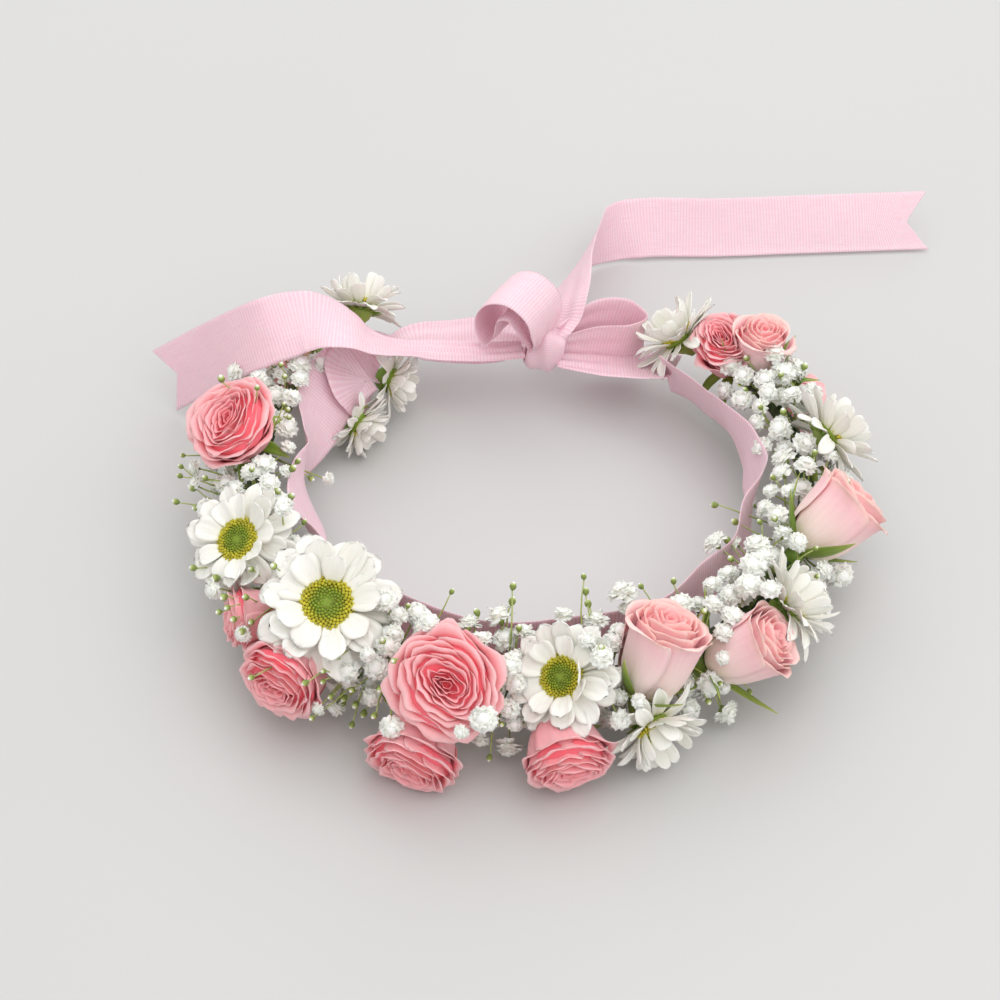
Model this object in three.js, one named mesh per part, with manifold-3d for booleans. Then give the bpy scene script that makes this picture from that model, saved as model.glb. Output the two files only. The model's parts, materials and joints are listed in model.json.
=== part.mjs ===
// Flower crown. A wire hoop is bound with tape and dressed with spray roses, daisies
// and baby's breath. A grosgrain ribbon lines it and is tied in a bow at the back.
//
// Units are millimetres and +Z is up. The crown lies on the plane z = 0, the origin is
// the centre of the head opening on that plane, the front is -Y and the bow is at +Y.
import * as THREE from 'three';
import * as BufferGeometryUtils from 'three/addons/utils/BufferGeometryUtils.js';
import Module from 'manifold-3d';

const wasm = await Module();
wasm.setup();

// Hoop: a C of wire, open at the back, where the ribbon closes it.
const HOOP_RADIUS = 100;
const HOOP_HEIGHT = 22;
const HOOP_END_DEG = 47;
const WIRE_RADIUS = 1.1;
const EYELET_RADIUS = 5;
const TAPE_INNER_RADIUS = 1.5;
const TAPE_OUTER_RADIUS = 3;
const TAPE_END_DEG = 43;

// Ribbon: one width of grosgrain, with swallow-tail ends.
const RIBBON_WIDTH = 25;
const RIBBON_THICKNESS = 0.6;
const RIBBON_STEP = 11;
const NOTCH_DEPTH = 9;

// Touching solids keep this gap, and nothing goes below the table.
const GAP = 0.3;
const TABLE_SIZE = 600;

const PINK = new THREE.MeshStandardMaterial({ color: '#f2b9cb', roughness: 0.55 });
const CORAL = new THREE.MeshStandardMaterial({ color: '#f08a92', roughness: 0.6 });
const PEACH = new THREE.MeshStandardMaterial({ color: '#f5b9a6', roughness: 0.6 });
const WHITE = new THREE.MeshStandardMaterial({ color: '#f7f5ea', roughness: 0.6 });
const PURE_WHITE = new THREE.MeshStandardMaterial({ color: '#ffffff', roughness: 0.7 });
const LEAF = new THREE.MeshStandardMaterial({ color: '#6f9440', roughness: 0.6 });
const TAPE_GREEN = new THREE.MeshStandardMaterial({ color: '#3f5230', roughness: 0.8 });
const STEEL = new THREE.MeshStandardMaterial({ color: '#9a9c98', roughness: 0.4, metalness: 1 });

// Flowers. "at" is the place on the hoop in degrees from +X, "heading" and "tilt" are
// the direction that the bloom faces, and "standoff" is how far it stands off the wire.
const ROSES = [
  { at: 171, heading: 237, tilt: 58, standoff: 24, width: 34, depth: 26, colour: CORAL },
  { at: -132, heading: 237, tilt: 2, standoff: 26, width: 32, depth: 26, colour: CORAL },
  { at: -138, heading: 191, tilt: 5, standoff: 22, width: 24, depth: 22, colour: CORAL },
  { at: -105, heading: 262, tilt: 44, standoff: 25, width: 38, depth: 26, colour: CORAL },
  { at: -108, heading: 253, tilt: -18, standoff: 28, width: 34, depth: 26, colour: CORAL },
  { at: -87, heading: 282, tilt: -12, standoff: 25, width: 30, depth: 26, colour: CORAL },
  { at: -74, heading: 357, tilt: 43, standoff: 24, width: 28, depth: 34, colour: PEACH },
  { at: -60, heading: 352, tilt: 20, standoff: 24, width: 25, depth: 30, colour: PEACH },
  { at: -28, heading: 32, tilt: 32, standoff: 25, width: 28, depth: 32, colour: PEACH },
  { at: 30, heading: 11, tilt: -35, standoff: 19, width: 24, depth: 22, colour: CORAL },
  { at: 31, heading: 52, tilt: 68, standoff: 19, width: 22, depth: 26, colour: PEACH },
  { at: 36, heading: 140, tilt: 60, standoff: 20, width: 26, depth: 24, colour: CORAL },
  { at: 137, heading: 164, tilt: -26, standoff: 20, width: 24, depth: 22, colour: CORAL },
];
const DAISIES = [
  { at: -156, heading: 227, tilt: 53, standoff: 20, width: 40 },
  { at: -133, heading: 269, tilt: 63, standoff: 22, width: 46 },
  { at: -80, heading: 236, tilt: 44, standoff: 20, width: 36 },
  { at: -74, heading: 301, tilt: -10, standoff: 22, width: 32 },
  { at: -48, heading: 4, tilt: 34, standoff: 20, width: 34 },
  { at: -3, heading: 30, tilt: 22, standoff: 18, width: 36 },
  { at: 42, heading: 150, tilt: 28, standoff: 20, width: 34 },
  { at: 139, heading: 80, tilt: 30, standoff: 18, width: 32 },
  { at: 137, heading: 340, tilt: -10, standoff: 18, width: 26 },
  { at: 147, heading: 330, tilt: -24, standoff: 22, width: 26 },
];
// Sprays of baby's breath fill the gaps. "side" turns round the hoop's own section:
// 0 faces out, 90 faces up and 180 faces into the head opening.
const SPRAYS = [
  { at: 156, side: 110 },
  { at: 167, side: 150 },
  { at: -171, side: 120 },
  { at: -145, side: 60 },
  { at: -120, side: 60 },
  { at: -93, side: 80 },
  { at: -80, side: 150 },
  { at: -62, side: 110 },
  { at: -38, side: 100 },
  { at: -15, side: 130 },
  { at: 10, side: 100 },
  { at: 24, side: 80 },
];
const SPRAY_REACH = 18;
const SPRAY_BLOSSOM_RADIUS = 5.5;
const SPRAY_STEM_RADIUS = 1;

// Ribbon routes. Each row is the centre, the direction of the upper edge and the
// gathered width as a share of the full width.
const TIE_LEFT = [
  [-57, 67, 30, 0.1, 0.3, 0.95, 1],
  [-43, 74, 30, 0.05, 0.45, 0.88, 1],
  [-28, 79, 29, 0, 0.25, 0.97, 0.9],
  [-14, 80, 27, 0, 0.1, 1, 0.75],
  [-2, 76, 25, 0, 0.05, 1, 0.45],
];
const TIE_RIGHT = [
  [15, 66, 21, 0, -0.2, 0.98, 0.4],
  [28, 67, 18, 0, -0.3, 0.95, 0.8],
  [43, 67, 16, 0, -0.26, 0.96, 1],
  [58, 62, 18, 0.1, -0.2, 0.97, 1],
];
// The left tail is pinched at its hinge, just outside the bow.
const TAIL_LEFT_ROOT = [
  [-3, 70.5, 25, 0, -0.1, 1, 0.45],
  [-14, 71.5, 26, 0, -0.2, 0.98, 0.8],
  [-25, 69.5, 26.5, 0, -0.2, 0.98, 0.9],
  [-33, 66, 27.5, 0, -0.2, 0.98, 0.45],
];
const TAIL_LEFT = [
  [-37, 63.5, 29, 0, -0.25, 0.97, 0.45],
  [-46, 60, 33, 0.1, -0.3, 0.94, 1],
  [-60, 56, 43, -0.1, -0.15, 0.98, 1],
  [-74, 54, 50, -0.1, 0, 1, 1],
  [-89, 53, 51, -0.1, 0.25, 0.96, 1],
  [-106, 59, 42, -0.3, 0.35, 0.88, 1],
  [-124, 66, 25, -0.4, 0.5, 0.77, 1],
  [-140, 67, 10.5, -0.37, 0.65, 0.67, 1],
];
const TAIL_RIGHT = [
  [10, 75, 30, 0.9, 0, 0.4, 0.4],
  [14, 88, 33, 0.8, -0.1, 0.6, 0.8],
  [18, 112, 28, 0.6, 0.1, 0.8, 1],
  [26, 144, 16, 0.45, 0.45, 0.77, 1],
  [37, 158, 11.8, 0.3, 0.62, 0.72, 1],
  [52, 163, 10.6, 0.05, 0.7, 0.71, 1],
  [81, 164, 9.6, 0, 0.7, 0.71, 1],
  [114, 166, 9.6, 0, 0.7, 0.71, 1],
  [168, 169, 9.6, 0, 0.7, 0.71, 1],
];
const LOOP_FRONT = [
  [1, 60, 30, 0.48, 0.84, 0.26, 0.4],
  [-10, 62, 31, 0.48, 0.84, 0.26, 0.6],
  [-17, 68, 40, 0.48, 0.84, 0.26, 1],
  [-13, 69, 52, 0.48, 0.84, 0.26, 1],
  [0, 64, 58, 0.48, 0.84, 0.26, 1],
  [10, 60, 52, 0.48, 0.84, 0.26, 1],
  [12, 60, 42, 0.48, 0.84, 0.26, 0.7],
  [8, 61.5, 36, 0.48, 0.84, 0.26, 0.4],
];
const LOOP_BACK = [
  [15, 70.5, 25, 0, -0.1, 1, 0.4],
  [26, 72, 24, 0, -0.1, 1, 0.8],
  [38, 73.5, 23, 0, -0.1, 1, 1],
  [45, 80, 23, 0, 0, 1, 1],
  [38, 86, 24, 0, 0.1, 1, 1],
  [26, 84, 26, 0, 0.1, 1, 0.8],
  [17, 77, 27, 0, 0.1, 1, 0.4],
];
const LEFT_FOLD = [
  [-60, 57, 28, 1, 0.1, -0.2, 0.5],
  [-60, 50, 28, 0.95, 0.2, -0.2, 0.9],
  [-58, 44, 22, 0.9, 0.3, -0.3, 0.7],
  [-55, 40, 12, 0.9, 0.3, -0.3, 0.2],
];
// The lining runs round the inside of the crown and waves in and out. Each row is the
// angle, the radius, the height of the middle and the lean of the upper edge.
const LINING = [
  [38, 79, 20, 20],
  [29, 79, 20, 5],
  [20, 80, 21, 35],
  [10, 82, 21, -10],
  [0, 83, 21, 25],
  [-12, 79, 20, -15],
  [-25, 80, 20, 25],
  [-40, 79, 20, 0],
  [-60, 81, 21, 20],
  [-80, 80, 20, 0],
  [-100, 81, 21, 15],
  [-120, 82, 21, 0],
  [-140, 80, 20, 20],
  [-158, 82, 20, -15],
  [-170, 82, 21, 20],
  [-182, 83, 22, -10],
  [-194, 84, 23, 25],
  [-206, 86, 24, 0],
  [-214, 87, 25, 10],
];

const KNOT_CENTRE = new THREE.Vector3(6, 68, 24);
const KNOT_SIZE = [7.5, 5.5, 8.5];

const radians = THREE.MathUtils.degToRad;

// ---- helpers ------------------------------------------------------------------

function hoopPoint(degrees, radius = HOOP_RADIUS, height = HOOP_HEIGHT) {
  const a = radians(degrees);
  return new THREE.Vector3(radius * Math.cos(a), radius * Math.sin(a), height);
}

function direction(heading, tilt) {
  const h = radians(heading);
  const t = radians(tilt);
  return new THREE.Vector3(Math.cos(t) * Math.cos(h), Math.cos(t) * Math.sin(h), Math.sin(t));
}

function solidOf(geometry) {
  const bare = geometry.clone();
  bare.deleteAttribute('normal');
  bare.deleteAttribute('uv');
  const merged = BufferGeometryUtils.mergeVertices(bare, 1e-4);
  return new wasm.Manifold(new wasm.Mesh({
    numProp: 3,
    vertProperties: merged.attributes.position.array,
    triVerts: new Uint32Array(merged.index.array),
  }));
}

function geometryOf(solid) {
  const mesh = solid.getMesh();
  const geometry = new THREE.BufferGeometry();
  geometry.setAttribute('position', new THREE.BufferAttribute(mesh.vertProperties, 3));
  geometry.setIndex(new THREE.BufferAttribute(mesh.triVerts, 1));
  geometry.computeVertexNormals();
  return geometry;
}

function joined(geometries) {
  return geometryOf(geometries.map(solidOf).reduce((whole, piece) => whole.add(piece)));
}

// An arc of the hoop as a curve, from the right end round the front to the left end.
class HoopCurve extends THREE.Curve {
  constructor(endDegrees) {
    super();
    this.endDegrees = endDegrees;
  }

  getPoint(t, target = new THREE.Vector3()) {
    const sweep = 180 + 2 * this.endDegrees;
    return target.copy(hoopPoint(this.endDegrees - t * sweep));
  }
}

// A strip of ribbon: a box bent along its route, 'notch' deep at its far end.
function ribbonGeometry(route, notch, grow) {
  const centres = new THREE.CatmullRomCurve3(route.map((p) => new THREE.Vector3(p[0], p[1], p[2])));
  const edges = new THREE.CatmullRomCurve3(route.map((p) => new THREE.Vector3(p[3], p[4], p[5])));
  const widths = new THREE.CatmullRomCurve3(route.map((p) => new THREE.Vector3(p[6], 0, 0)));
  const steps = Math.max(4, Math.round(centres.getLength() / RIBBON_STEP));
  const geometry = new THREE.BoxGeometry(1, 1, 1, 2, 1, steps);
  const position = geometry.attributes.position;
  for (let i = 0; i < position.count; i += 1) {
    const t = centres.getUtoTmapping(position.getZ(i) + 0.5);
    const along = centres.getTangent(t);
    const across = edges.getPoint(t);
    across.addScaledVector(along, -across.dot(along)).normalize();
    const out = new THREE.Vector3().crossVectors(along, across);
    const width = RIBBON_WIDTH * widths.getPoint(t).x + 2 * grow;
    const thickness = RIBBON_THICKNESS + 2 * grow;
    const end = Math.round(2 * (t - 0.5));
    const isNotch = t === 1 && position.getX(i) === 0;
    const point = centres.getPoint(t)
      .addScaledVector(across, position.getX(i) * width)
      .addScaledVector(out, position.getY(i) * thickness)
      .addScaledVector(along, (t === 0 || t === 1 ? end * grow : 0) - (isNotch ? notch : 0));
    position.setXYZ(i, point.x, point.y, point.z);
  }
  // The back face is split along the same diagonals as the front one, so the two faces
  // never cross where the ribbon twists.
  const index = geometry.index.array;
  const back = geometry.groups[3];
  for (let i = back.start; i < back.start + back.count; i += 6) {
    const [a, b, d, , c] = index.slice(i, i + 5);
    index.set([a, b, c, a, c, d], i);
  }
  return geometry;
}

// A profile turned about the bloom's axis, swollen outwards by 'grow'.
function turned(profile, sides, grow) {
  const corners = profile.map(([r, z]) => new THREE.Vector2(r, z));
  const points = corners.map((corner, i) => {
    const before = corners[Math.max(i - 1, 0)].clone();
    const after = corners[Math.min(i + 1, corners.length - 1)].clone();
    const a = i === 0 ? new THREE.Vector2(1, 0) : corner.clone().sub(before).normalize();
    const b = i === corners.length - 1 ? new THREE.Vector2(-1, 0) : after.sub(corner).normalize();
    const outward = new THREE.Vector2(a.y + b.y, -a.x - b.x).divideScalar(1 + a.dot(b));
    const moved = corner.clone().addScaledVector(outward, grow);
    return corner.x === 0 ? moved.setX(0) : moved;
  });
  return new THREE.LatheGeometry(points, sides).rotateX(Math.PI / 2);
}

function ball(radius, centre) {
  return new THREE.OctahedronGeometry(radius, 1).translate(centre.x, centre.y, centre.z);
}

function rod(radius, from, to) {
  const length = from.distanceTo(to);
  const geometry = new THREE.CylinderGeometry(radius, radius, length, 5);
  geometry.translate(0, length / 2, 0);
  const turn = new THREE.Quaternion().setFromUnitVectors(
    new THREE.Vector3(0, 1, 0),
    to.clone().sub(from).normalize(),
  );
  return geometry.applyQuaternion(turn).translate(from.x, from.y, from.z);
}

// ---- pieces -------------------------------------------------------------------

// A piece is a name, a material, a place and a function that makes its geometry,
// swollen by 'grow' when a neighbour is cut back from it.
const pieces = [];

function addPiece(name, material, make, place = new THREE.Matrix4()) {
  pieces.push({ name, material, make, place });
}

function addWireAndTape() {
  addPiece('base_wire', STEEL, (grow) => {
    const circle = new THREE.Shape().absarc(0, 0, WIRE_RADIUS + grow, 0, 2 * Math.PI);
    const hoop = new THREE.ExtrudeGeometry(circle, {
      steps: 40,
      curveSegments: 3,
      extrudePath: new HoopCurve(HOOP_END_DEG),
    });
    const eyelets = [HOOP_END_DEG, 180 - HOOP_END_DEG].map((degrees) => {
      const eyelet = new THREE.TorusGeometry(EYELET_RADIUS, WIRE_RADIUS + grow, 6, 14);
      const past = Math.sign(90 - degrees) * (EYELET_RADIUS / HOOP_RADIUS);
      const centre = hoopPoint(degrees + THREE.MathUtils.radToDeg(past));
      eyelet.rotateX(Math.PI / 2).rotateZ(radians(degrees + 90));
      return eyelet.translate(centre.x, centre.y, centre.z);
    });
    return joined([hoop, ...eyelets]);
  });
  addPiece('floral_tape', TAPE_GREEN, (grow) => {
    const ring = new THREE.Shape().absarc(0, 0, TAPE_OUTER_RADIUS + grow, 0, 2 * Math.PI);
    const hole = new THREE.Path().absarc(0, 0, TAPE_INNER_RADIUS - grow, 0, 2 * Math.PI);
    ring.holes.push(hole);
    return new THREE.ExtrudeGeometry(ring, {
      steps: 40,
      curveSegments: 3,
      extrudePath: new HoopCurve(TAPE_END_DEG),
    });
  });
}

function addRibbons() {
  const lining = LINING.map(([degrees, radius, height, lean]) => {
    const centre = hoopPoint(degrees, radius, height);
    const upper = direction(degrees, 90 - lean);
    return [centre.x, centre.y, centre.z, upper.x, upper.y, upper.z, 1];
  });
  addPiece('lining_ribbon', PINK, (grow) => ribbonGeometry(lining, 0, grow));
  addPiece('tie_left', PINK, (grow) => ribbonGeometry(TIE_LEFT, 0, grow));
  addPiece('tie_right', PINK, (grow) => ribbonGeometry(TIE_RIGHT, 0, grow));
  addPiece('tail_left_root', PINK, (grow) => ribbonGeometry(TAIL_LEFT_ROOT, 0, grow));
  addPiece('tail_left', PINK, (grow) => ribbonGeometry(TAIL_LEFT, NOTCH_DEPTH, grow));
  addPiece('tail_right', PINK, (grow) => ribbonGeometry(TAIL_RIGHT, NOTCH_DEPTH, grow));
  addPiece('bow_loop_front', PINK, (grow) => ribbonGeometry(LOOP_FRONT, 0, grow));
  addPiece('bow_loop_back', PINK, (grow) => ribbonGeometry(LOOP_BACK, 0, grow));
  addPiece('left_fold', PINK, (grow) => ribbonGeometry(LEFT_FOLD, 0, grow));
  addPiece('bow_knot', PINK, (grow) => {
    const knot = new THREE.SphereGeometry(1, 12, 8);
    knot.scale(...KNOT_SIZE.map((size) => size + grow));
    return knot.translate(KNOT_CENTRE.x, KNOT_CENTRE.y, KNOT_CENTRE.z);
  });
}

// The place of a bloom: its own +Z is the way it faces.
function bloomPlace({ at, heading, tilt, standoff }) {
  const facing = direction(heading, tilt);
  const centre = hoopPoint(at).addScaledVector(facing, standoff);
  const turn = new THREE.Quaternion().setFromUnitVectors(new THREE.Vector3(0, 0, 1), facing);
  return new THREE.Matrix4().compose(centre, turn, new THREE.Vector3(1, 1, 1));
}

function addRose(rose, number) {
  const name = `rose_${String(number).padStart(2, '0')}`;
  const place = bloomPlace(rose);
  const radius = rose.width / 2;
  const base = -rose.depth * 0.5;
  const rim = rose.depth * 0.4;
  addPiece(`${name}_petals`, rose.colour, (grow) => turned([
    [0, base],
    [radius * 0.45, base + 1],
    [radius * 0.85, base * 0.4],
    [radius, rim * 0.7],
    [radius * 0.75, rim],
    [0, rim * 0.8],
  ], 10, grow), place);
  addPiece(`${name}_calyx`, LEAF, (grow) => {
    const top = base - GAP;
    const hip = turned([
      [0, -rose.standoff + TAPE_OUTER_RADIUS],
      [1.4, -rose.standoff + TAPE_OUTER_RADIUS],
      [1.4, top - 6],
      [3.2, top - 3],
      [3, top],
      [0, top],
    ], 8, grow);
    const sepals = [0, 1, 2, 3, 4].map((k) => {
      const sepal = new THREE.ConeGeometry(2 + grow, 11 + grow, 4);
      sepal.translate(0, 5, 0).scale(1, 1, 0.5).rotateX(radians(18));
      return sepal.translate(0, 1.5, top - 2).rotateZ(radians(72 * k));
    });
    return joined([hip, ...sepals]);
  }, place);
}

function addDaisy(daisy, number) {
  const radius = daisy.width / 2;
  addPiece(`daisy_${String(number).padStart(2, '0')}`, WHITE, (grow) => turned([
    [0, -daisy.standoff + TAPE_OUTER_RADIUS],
    [1.5, -daisy.standoff + TAPE_OUTER_RADIUS],
    [1.5, -8],
    [6, -5],
    [radius, 0],
    [radius, 3],
    [7.5, 1],
    [5, 4],
    [0, 4.5],
  ], 12, grow), bloomPlace(daisy));
}

function addSpray({ at, side }, number) {
  const place = new THREE.Matrix4().makeRotationZ(radians(at)).setPosition(hoopPoint(at));
  addPiece(`baby_breath_${String(number).padStart(2, '0')}`, PURE_WHITE, (grow) => {
    const root = new THREE.Vector3(TAPE_OUTER_RADIUS + 1, 0, 0);
    const turn = (v, degrees) => v.clone().applyAxisAngle(new THREE.Vector3(0, -1, 0), radians(degrees));
    const tips = [[side, -1, 1], [side - 35, 8, 0.9], [side + 30, -8, 0.9]]
      .map(([angle, along, share]) => {
        const tip = turn(new THREE.Vector3(SPRAY_REACH * share, 0, 0), angle);
        return tip.setY(along);
      });
    const foot = turn(root, side);
    return joined(tips.flatMap((tip) => [
      ball(SPRAY_BLOSSOM_RADIUS + grow, tip),
      rod(SPRAY_STEM_RADIUS + grow, foot, tip),
    ]));
  }, place);
}

addWireAndTape();
addRibbons();
ROSES.forEach((rose, i) => addRose(rose, i + 1));
DAISIES.forEach((daisy, i) => addDaisy(daisy, i + 1));
SPRAYS.forEach((spray, i) => addSpray(spray, i + 1));

// ---- assembly -----------------------------------------------------------------

// The flowers crowd each other and lie on the table, so each later piece is cut back
// from the earlier ones and from the table, and keeps its largest part.
const RIGID_COUNT = pieces.findIndex((piece) => piece.name.startsWith('rose'));
const group = new THREE.Group();
const taken = [];
const table = new THREE.BoxGeometry(TABLE_SIZE, TABLE_SIZE, TABLE_SIZE);
table.translate(0, 0, -TABLE_SIZE / 2);
taken.push(table);

pieces.forEach((piece, index) => {
  let geometry = piece.make(0);
  if (index >= RIGID_COUNT) {
    const solid = taken
      .filter((other) => {
        other.computeBoundingBox();
        const reach = geometry.clone().applyMatrix4(piece.place);
        reach.computeBoundingBox();
        return other.boundingBox.intersectsBox(reach.boundingBox);
      })
      .map((other) => solidOf(other.clone().applyMatrix4(piece.place.clone().invert())))
      .reduce((rest, cutter) => rest.subtract(cutter), solidOf(geometry));
    const parts = solid.decompose().sort((a, b) => b.volume() - a.volume());
    geometry = geometryOf(parts[0]);
  }
  taken.push(piece.make(GAP).applyMatrix4(piece.place));
  const mesh = new THREE.Mesh(geometry, piece.material);
  mesh.name = piece.name;
  mesh.applyMatrix4(piece.place);
  group.add(mesh);
});

export default group;
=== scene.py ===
# %% [markdown]
# # A flower crown
# The crown is a hoop of wire bound with green tape. Spray roses, daisies and baby's
# breath are set on it, a grosgrain ribbon lines it, and the ends of the ribbon close it
# in a bow. The hoop and the places of the flowers come from the packed
# frame, so every piece here is grown round a solid that is already in its place.

# %% Load the frame and keep its box
import json
import math
import bpy
import numpy as np
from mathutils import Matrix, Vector


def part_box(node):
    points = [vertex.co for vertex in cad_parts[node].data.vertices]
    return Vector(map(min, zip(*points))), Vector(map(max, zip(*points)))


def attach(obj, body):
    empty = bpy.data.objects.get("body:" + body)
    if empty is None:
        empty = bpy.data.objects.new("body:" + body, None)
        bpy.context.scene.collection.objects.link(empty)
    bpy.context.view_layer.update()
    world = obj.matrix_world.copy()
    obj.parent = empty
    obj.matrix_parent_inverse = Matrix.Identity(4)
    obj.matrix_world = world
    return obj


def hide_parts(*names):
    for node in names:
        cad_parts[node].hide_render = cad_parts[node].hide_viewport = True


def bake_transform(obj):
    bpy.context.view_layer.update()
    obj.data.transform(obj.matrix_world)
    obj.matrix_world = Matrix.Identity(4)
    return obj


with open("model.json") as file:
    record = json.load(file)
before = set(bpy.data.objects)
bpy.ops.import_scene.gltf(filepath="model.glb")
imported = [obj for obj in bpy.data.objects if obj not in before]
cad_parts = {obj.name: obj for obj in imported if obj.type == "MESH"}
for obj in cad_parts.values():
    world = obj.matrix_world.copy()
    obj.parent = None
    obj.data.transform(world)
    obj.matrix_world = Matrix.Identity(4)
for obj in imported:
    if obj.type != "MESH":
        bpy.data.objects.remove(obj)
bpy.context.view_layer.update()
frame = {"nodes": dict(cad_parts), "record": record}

MM = 0.001

# %% [markdown]
# The camera looks down on the crown from the front at about the angle of a person
# standing at a table. A long lens from a little under a metre keeps the hoop's near and
# far sides close to their true proportions.

# %% Camera
CAMERA_AIM = Vector((-0.011, 0.0107, 0.0))
CAMERA_DISTANCE = 0.85
CAMERA_ELEVATION = math.radians(44)
camera = bpy.data.objects.new("camera", bpy.data.cameras.new("camera"))
camera.data.lens = 82.3
camera.data.sensor_width = 36
camera.data.clip_start = 0.05
backward = Vector((0, -math.cos(CAMERA_ELEVATION), math.sin(CAMERA_ELEVATION)))
camera.location = CAMERA_AIM + CAMERA_DISTANCE * backward
camera.rotation_euler = (math.pi / 2 - CAMERA_ELEVATION, 0, 0)
bpy.context.scene.collection.objects.link(camera)
bpy.context.scene.camera = camera
print("camera at", [round(x, 3) for x in camera.location])

# %% [markdown]
# Colours are written as the hex values that a painter would mix, and are turned into
# the linear values that the shaders work in.

# %% Colour helper
def colour(hex_code):
    """A hex colour as linear red, green, blue and an alpha of one."""
    parts = [int(hex_code[i:i + 2], 16) / 255 for i in (1, 3, 5)]
    linear = [c / 12.92 if c < 0.04045 else ((c + 0.055) / 1.055) ** 2.4 for c in parts]
    return (*linear, 1.0)


print("ribbon pink is", [round(c, 2) for c in colour("#f4bccd")])

# %% [markdown]
# Small node helpers keep each material short. A node is made by its type and its
# settings, and each input is given either another node's socket or a fixed value.

# %% Node helpers
def add_node(tree, kind, **settings):
    """One shader node, with its attributes set by name."""
    node = tree.nodes.new(kind)
    for name, value in settings.items():
        setattr(node, name, value)
    return node


def new_material(name):
    """A material with only its Principled shader and output, and the shader itself."""
    material = bpy.data.materials.new(name)
    material.use_nodes = True
    tree = material.node_tree
    return material, tree, tree.nodes["Principled BSDF"]


def ramp(tree, factor, stops):
    """A colour ramp fed by a factor, from a list of (position, hex colour)."""
    node = add_node(tree, "ShaderNodeValToRGB")
    while len(node.color_ramp.elements) < len(stops):
        node.color_ramp.elements.new(0.5)
    for element, (position, code) in zip(node.color_ramp.elements, stops):
        element.position = position
        element.color = colour(code)
    tree.links.new(factor, node.inputs["Fac"])
    return node.outputs["Color"]


def feed(tree, sockets, values):
    """Gives each socket its value, which is another socket or a fixed value."""
    for socket, value in zip(sockets, values):
        if hasattr(value, "is_linked"):
            tree.links.new(value, socket)
        else:
            socket.default_value = value


def mix(tree, blend, factor, first, second):
    """A colour mix. Each input is a socket or a fixed value."""
    node = add_node(tree, "ShaderNodeMix", data_type="RGBA", blend_type=blend)
    feed(tree, [node.inputs[i] for i in (0, 6, 7)], (factor, first, second))
    return node.outputs[2]


def maths(tree, operation, first, second=0.5, third=0.5):
    """A maths node. Each input is a socket or a number."""
    node = add_node(tree, "ShaderNodeMath", operation=operation)
    feed(tree, node.inputs, (first, second, third))
    return node.outputs[0]


def noise(tree, place, scale, detail=2.0):
    """Noise at a place, which is a vector socket. Gives the factor socket."""
    node = add_node(tree, "ShaderNodeTexNoise")
    node.inputs["Scale"].default_value = scale
    node.inputs["Detail"].default_value = detail
    tree.links.new(place, node.inputs["Vector"])
    return node.outputs["Fac"]


def painted(tree):
    """The four painted numbers of a mesh as sockets: along, across, petal and depth."""
    paint = add_node(tree, "ShaderNodeAttribute", attribute_name="petal")
    split = add_node(tree, "ShaderNodeSeparateColor")
    tree.links.new(paint.outputs["Color"], split.inputs["Color"])
    return *split.outputs, paint.outputs["Alpha"]


def set_shader(shader, **values):
    """Fixed values on the shader's own sockets. An underscore stands for a space."""
    for name, value in values.items():
        shader.inputs[name.replace("_", " ")].default_value = value


def add_bump(tree, shader, height, strength, distance):
    """Feeds a height to the shader as a bump of that real depth in metres."""
    bump = add_node(tree, "ShaderNodeBump")
    bump.inputs["Strength"].default_value = strength
    bump.inputs["Distance"].default_value = distance
    tree.links.new(height, bump.inputs["Height"])
    tree.links.new(bump.outputs["Normal"], shader.inputs["Normal"])


print("node helpers ready")

# %% [markdown]
# Petals carry four painted numbers on their points: how far up the petal the point is,
# how far across, a random number for the whole petal, and how deep in the bloom the
# petal sits. Fine veins that run up a petal are noise stretched along it, so that effect
# is one group, placed in every petal and leaf material with its own fineness.

# %% Vein group
def make_vein_group():
    """A group that turns a petal's own coordinates into fine lengthways veins."""
    group = bpy.data.node_groups.new("petal veins", "ShaderNodeTree")
    for name in ("Across", "Along", "Petal", "Fineness"):
        group.interface.new_socket(name, in_out="INPUT", socket_type="NodeSocketFloat")
    group.interface.new_socket("Veins", in_out="OUTPUT", socket_type="NodeSocketFloat")
    inside = add_node(group, "NodeGroupInput")
    outside = add_node(group, "NodeGroupOutput")
    across = maths(group, "MULTIPLY", inside.outputs["Across"], inside.outputs["Fineness"])
    apart = maths(group, "MULTIPLY", inside.outputs["Petal"], 37.0)
    place = add_node(group, "ShaderNodeCombineXYZ")
    group.links.new(across, place.inputs["X"])
    group.links.new(inside.outputs["Along"], place.inputs["Y"])
    group.links.new(apart, place.inputs["Z"])
    group.links.new(noise(group, place.outputs["Vector"], 2.0, 3.0), outside.inputs["Veins"])
    return group


VEINS = make_vein_group()


def petal_parts(tree, fineness):
    """The along, petal and depth numbers of a petal, and its veins, as sockets."""
    along, across, petal, depth = painted(tree)
    veins = add_node(tree, "ShaderNodeGroup", node_tree=VEINS)
    tree.links.new(across, veins.inputs["Across"])
    tree.links.new(along, veins.inputs["Along"])
    tree.links.new(petal, veins.inputs["Petal"])
    veins.inputs["Fineness"].default_value = fineness
    return along, petal, depth, veins.outputs["Veins"]


print("vein group has", len(VEINS.nodes), "nodes")
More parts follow.
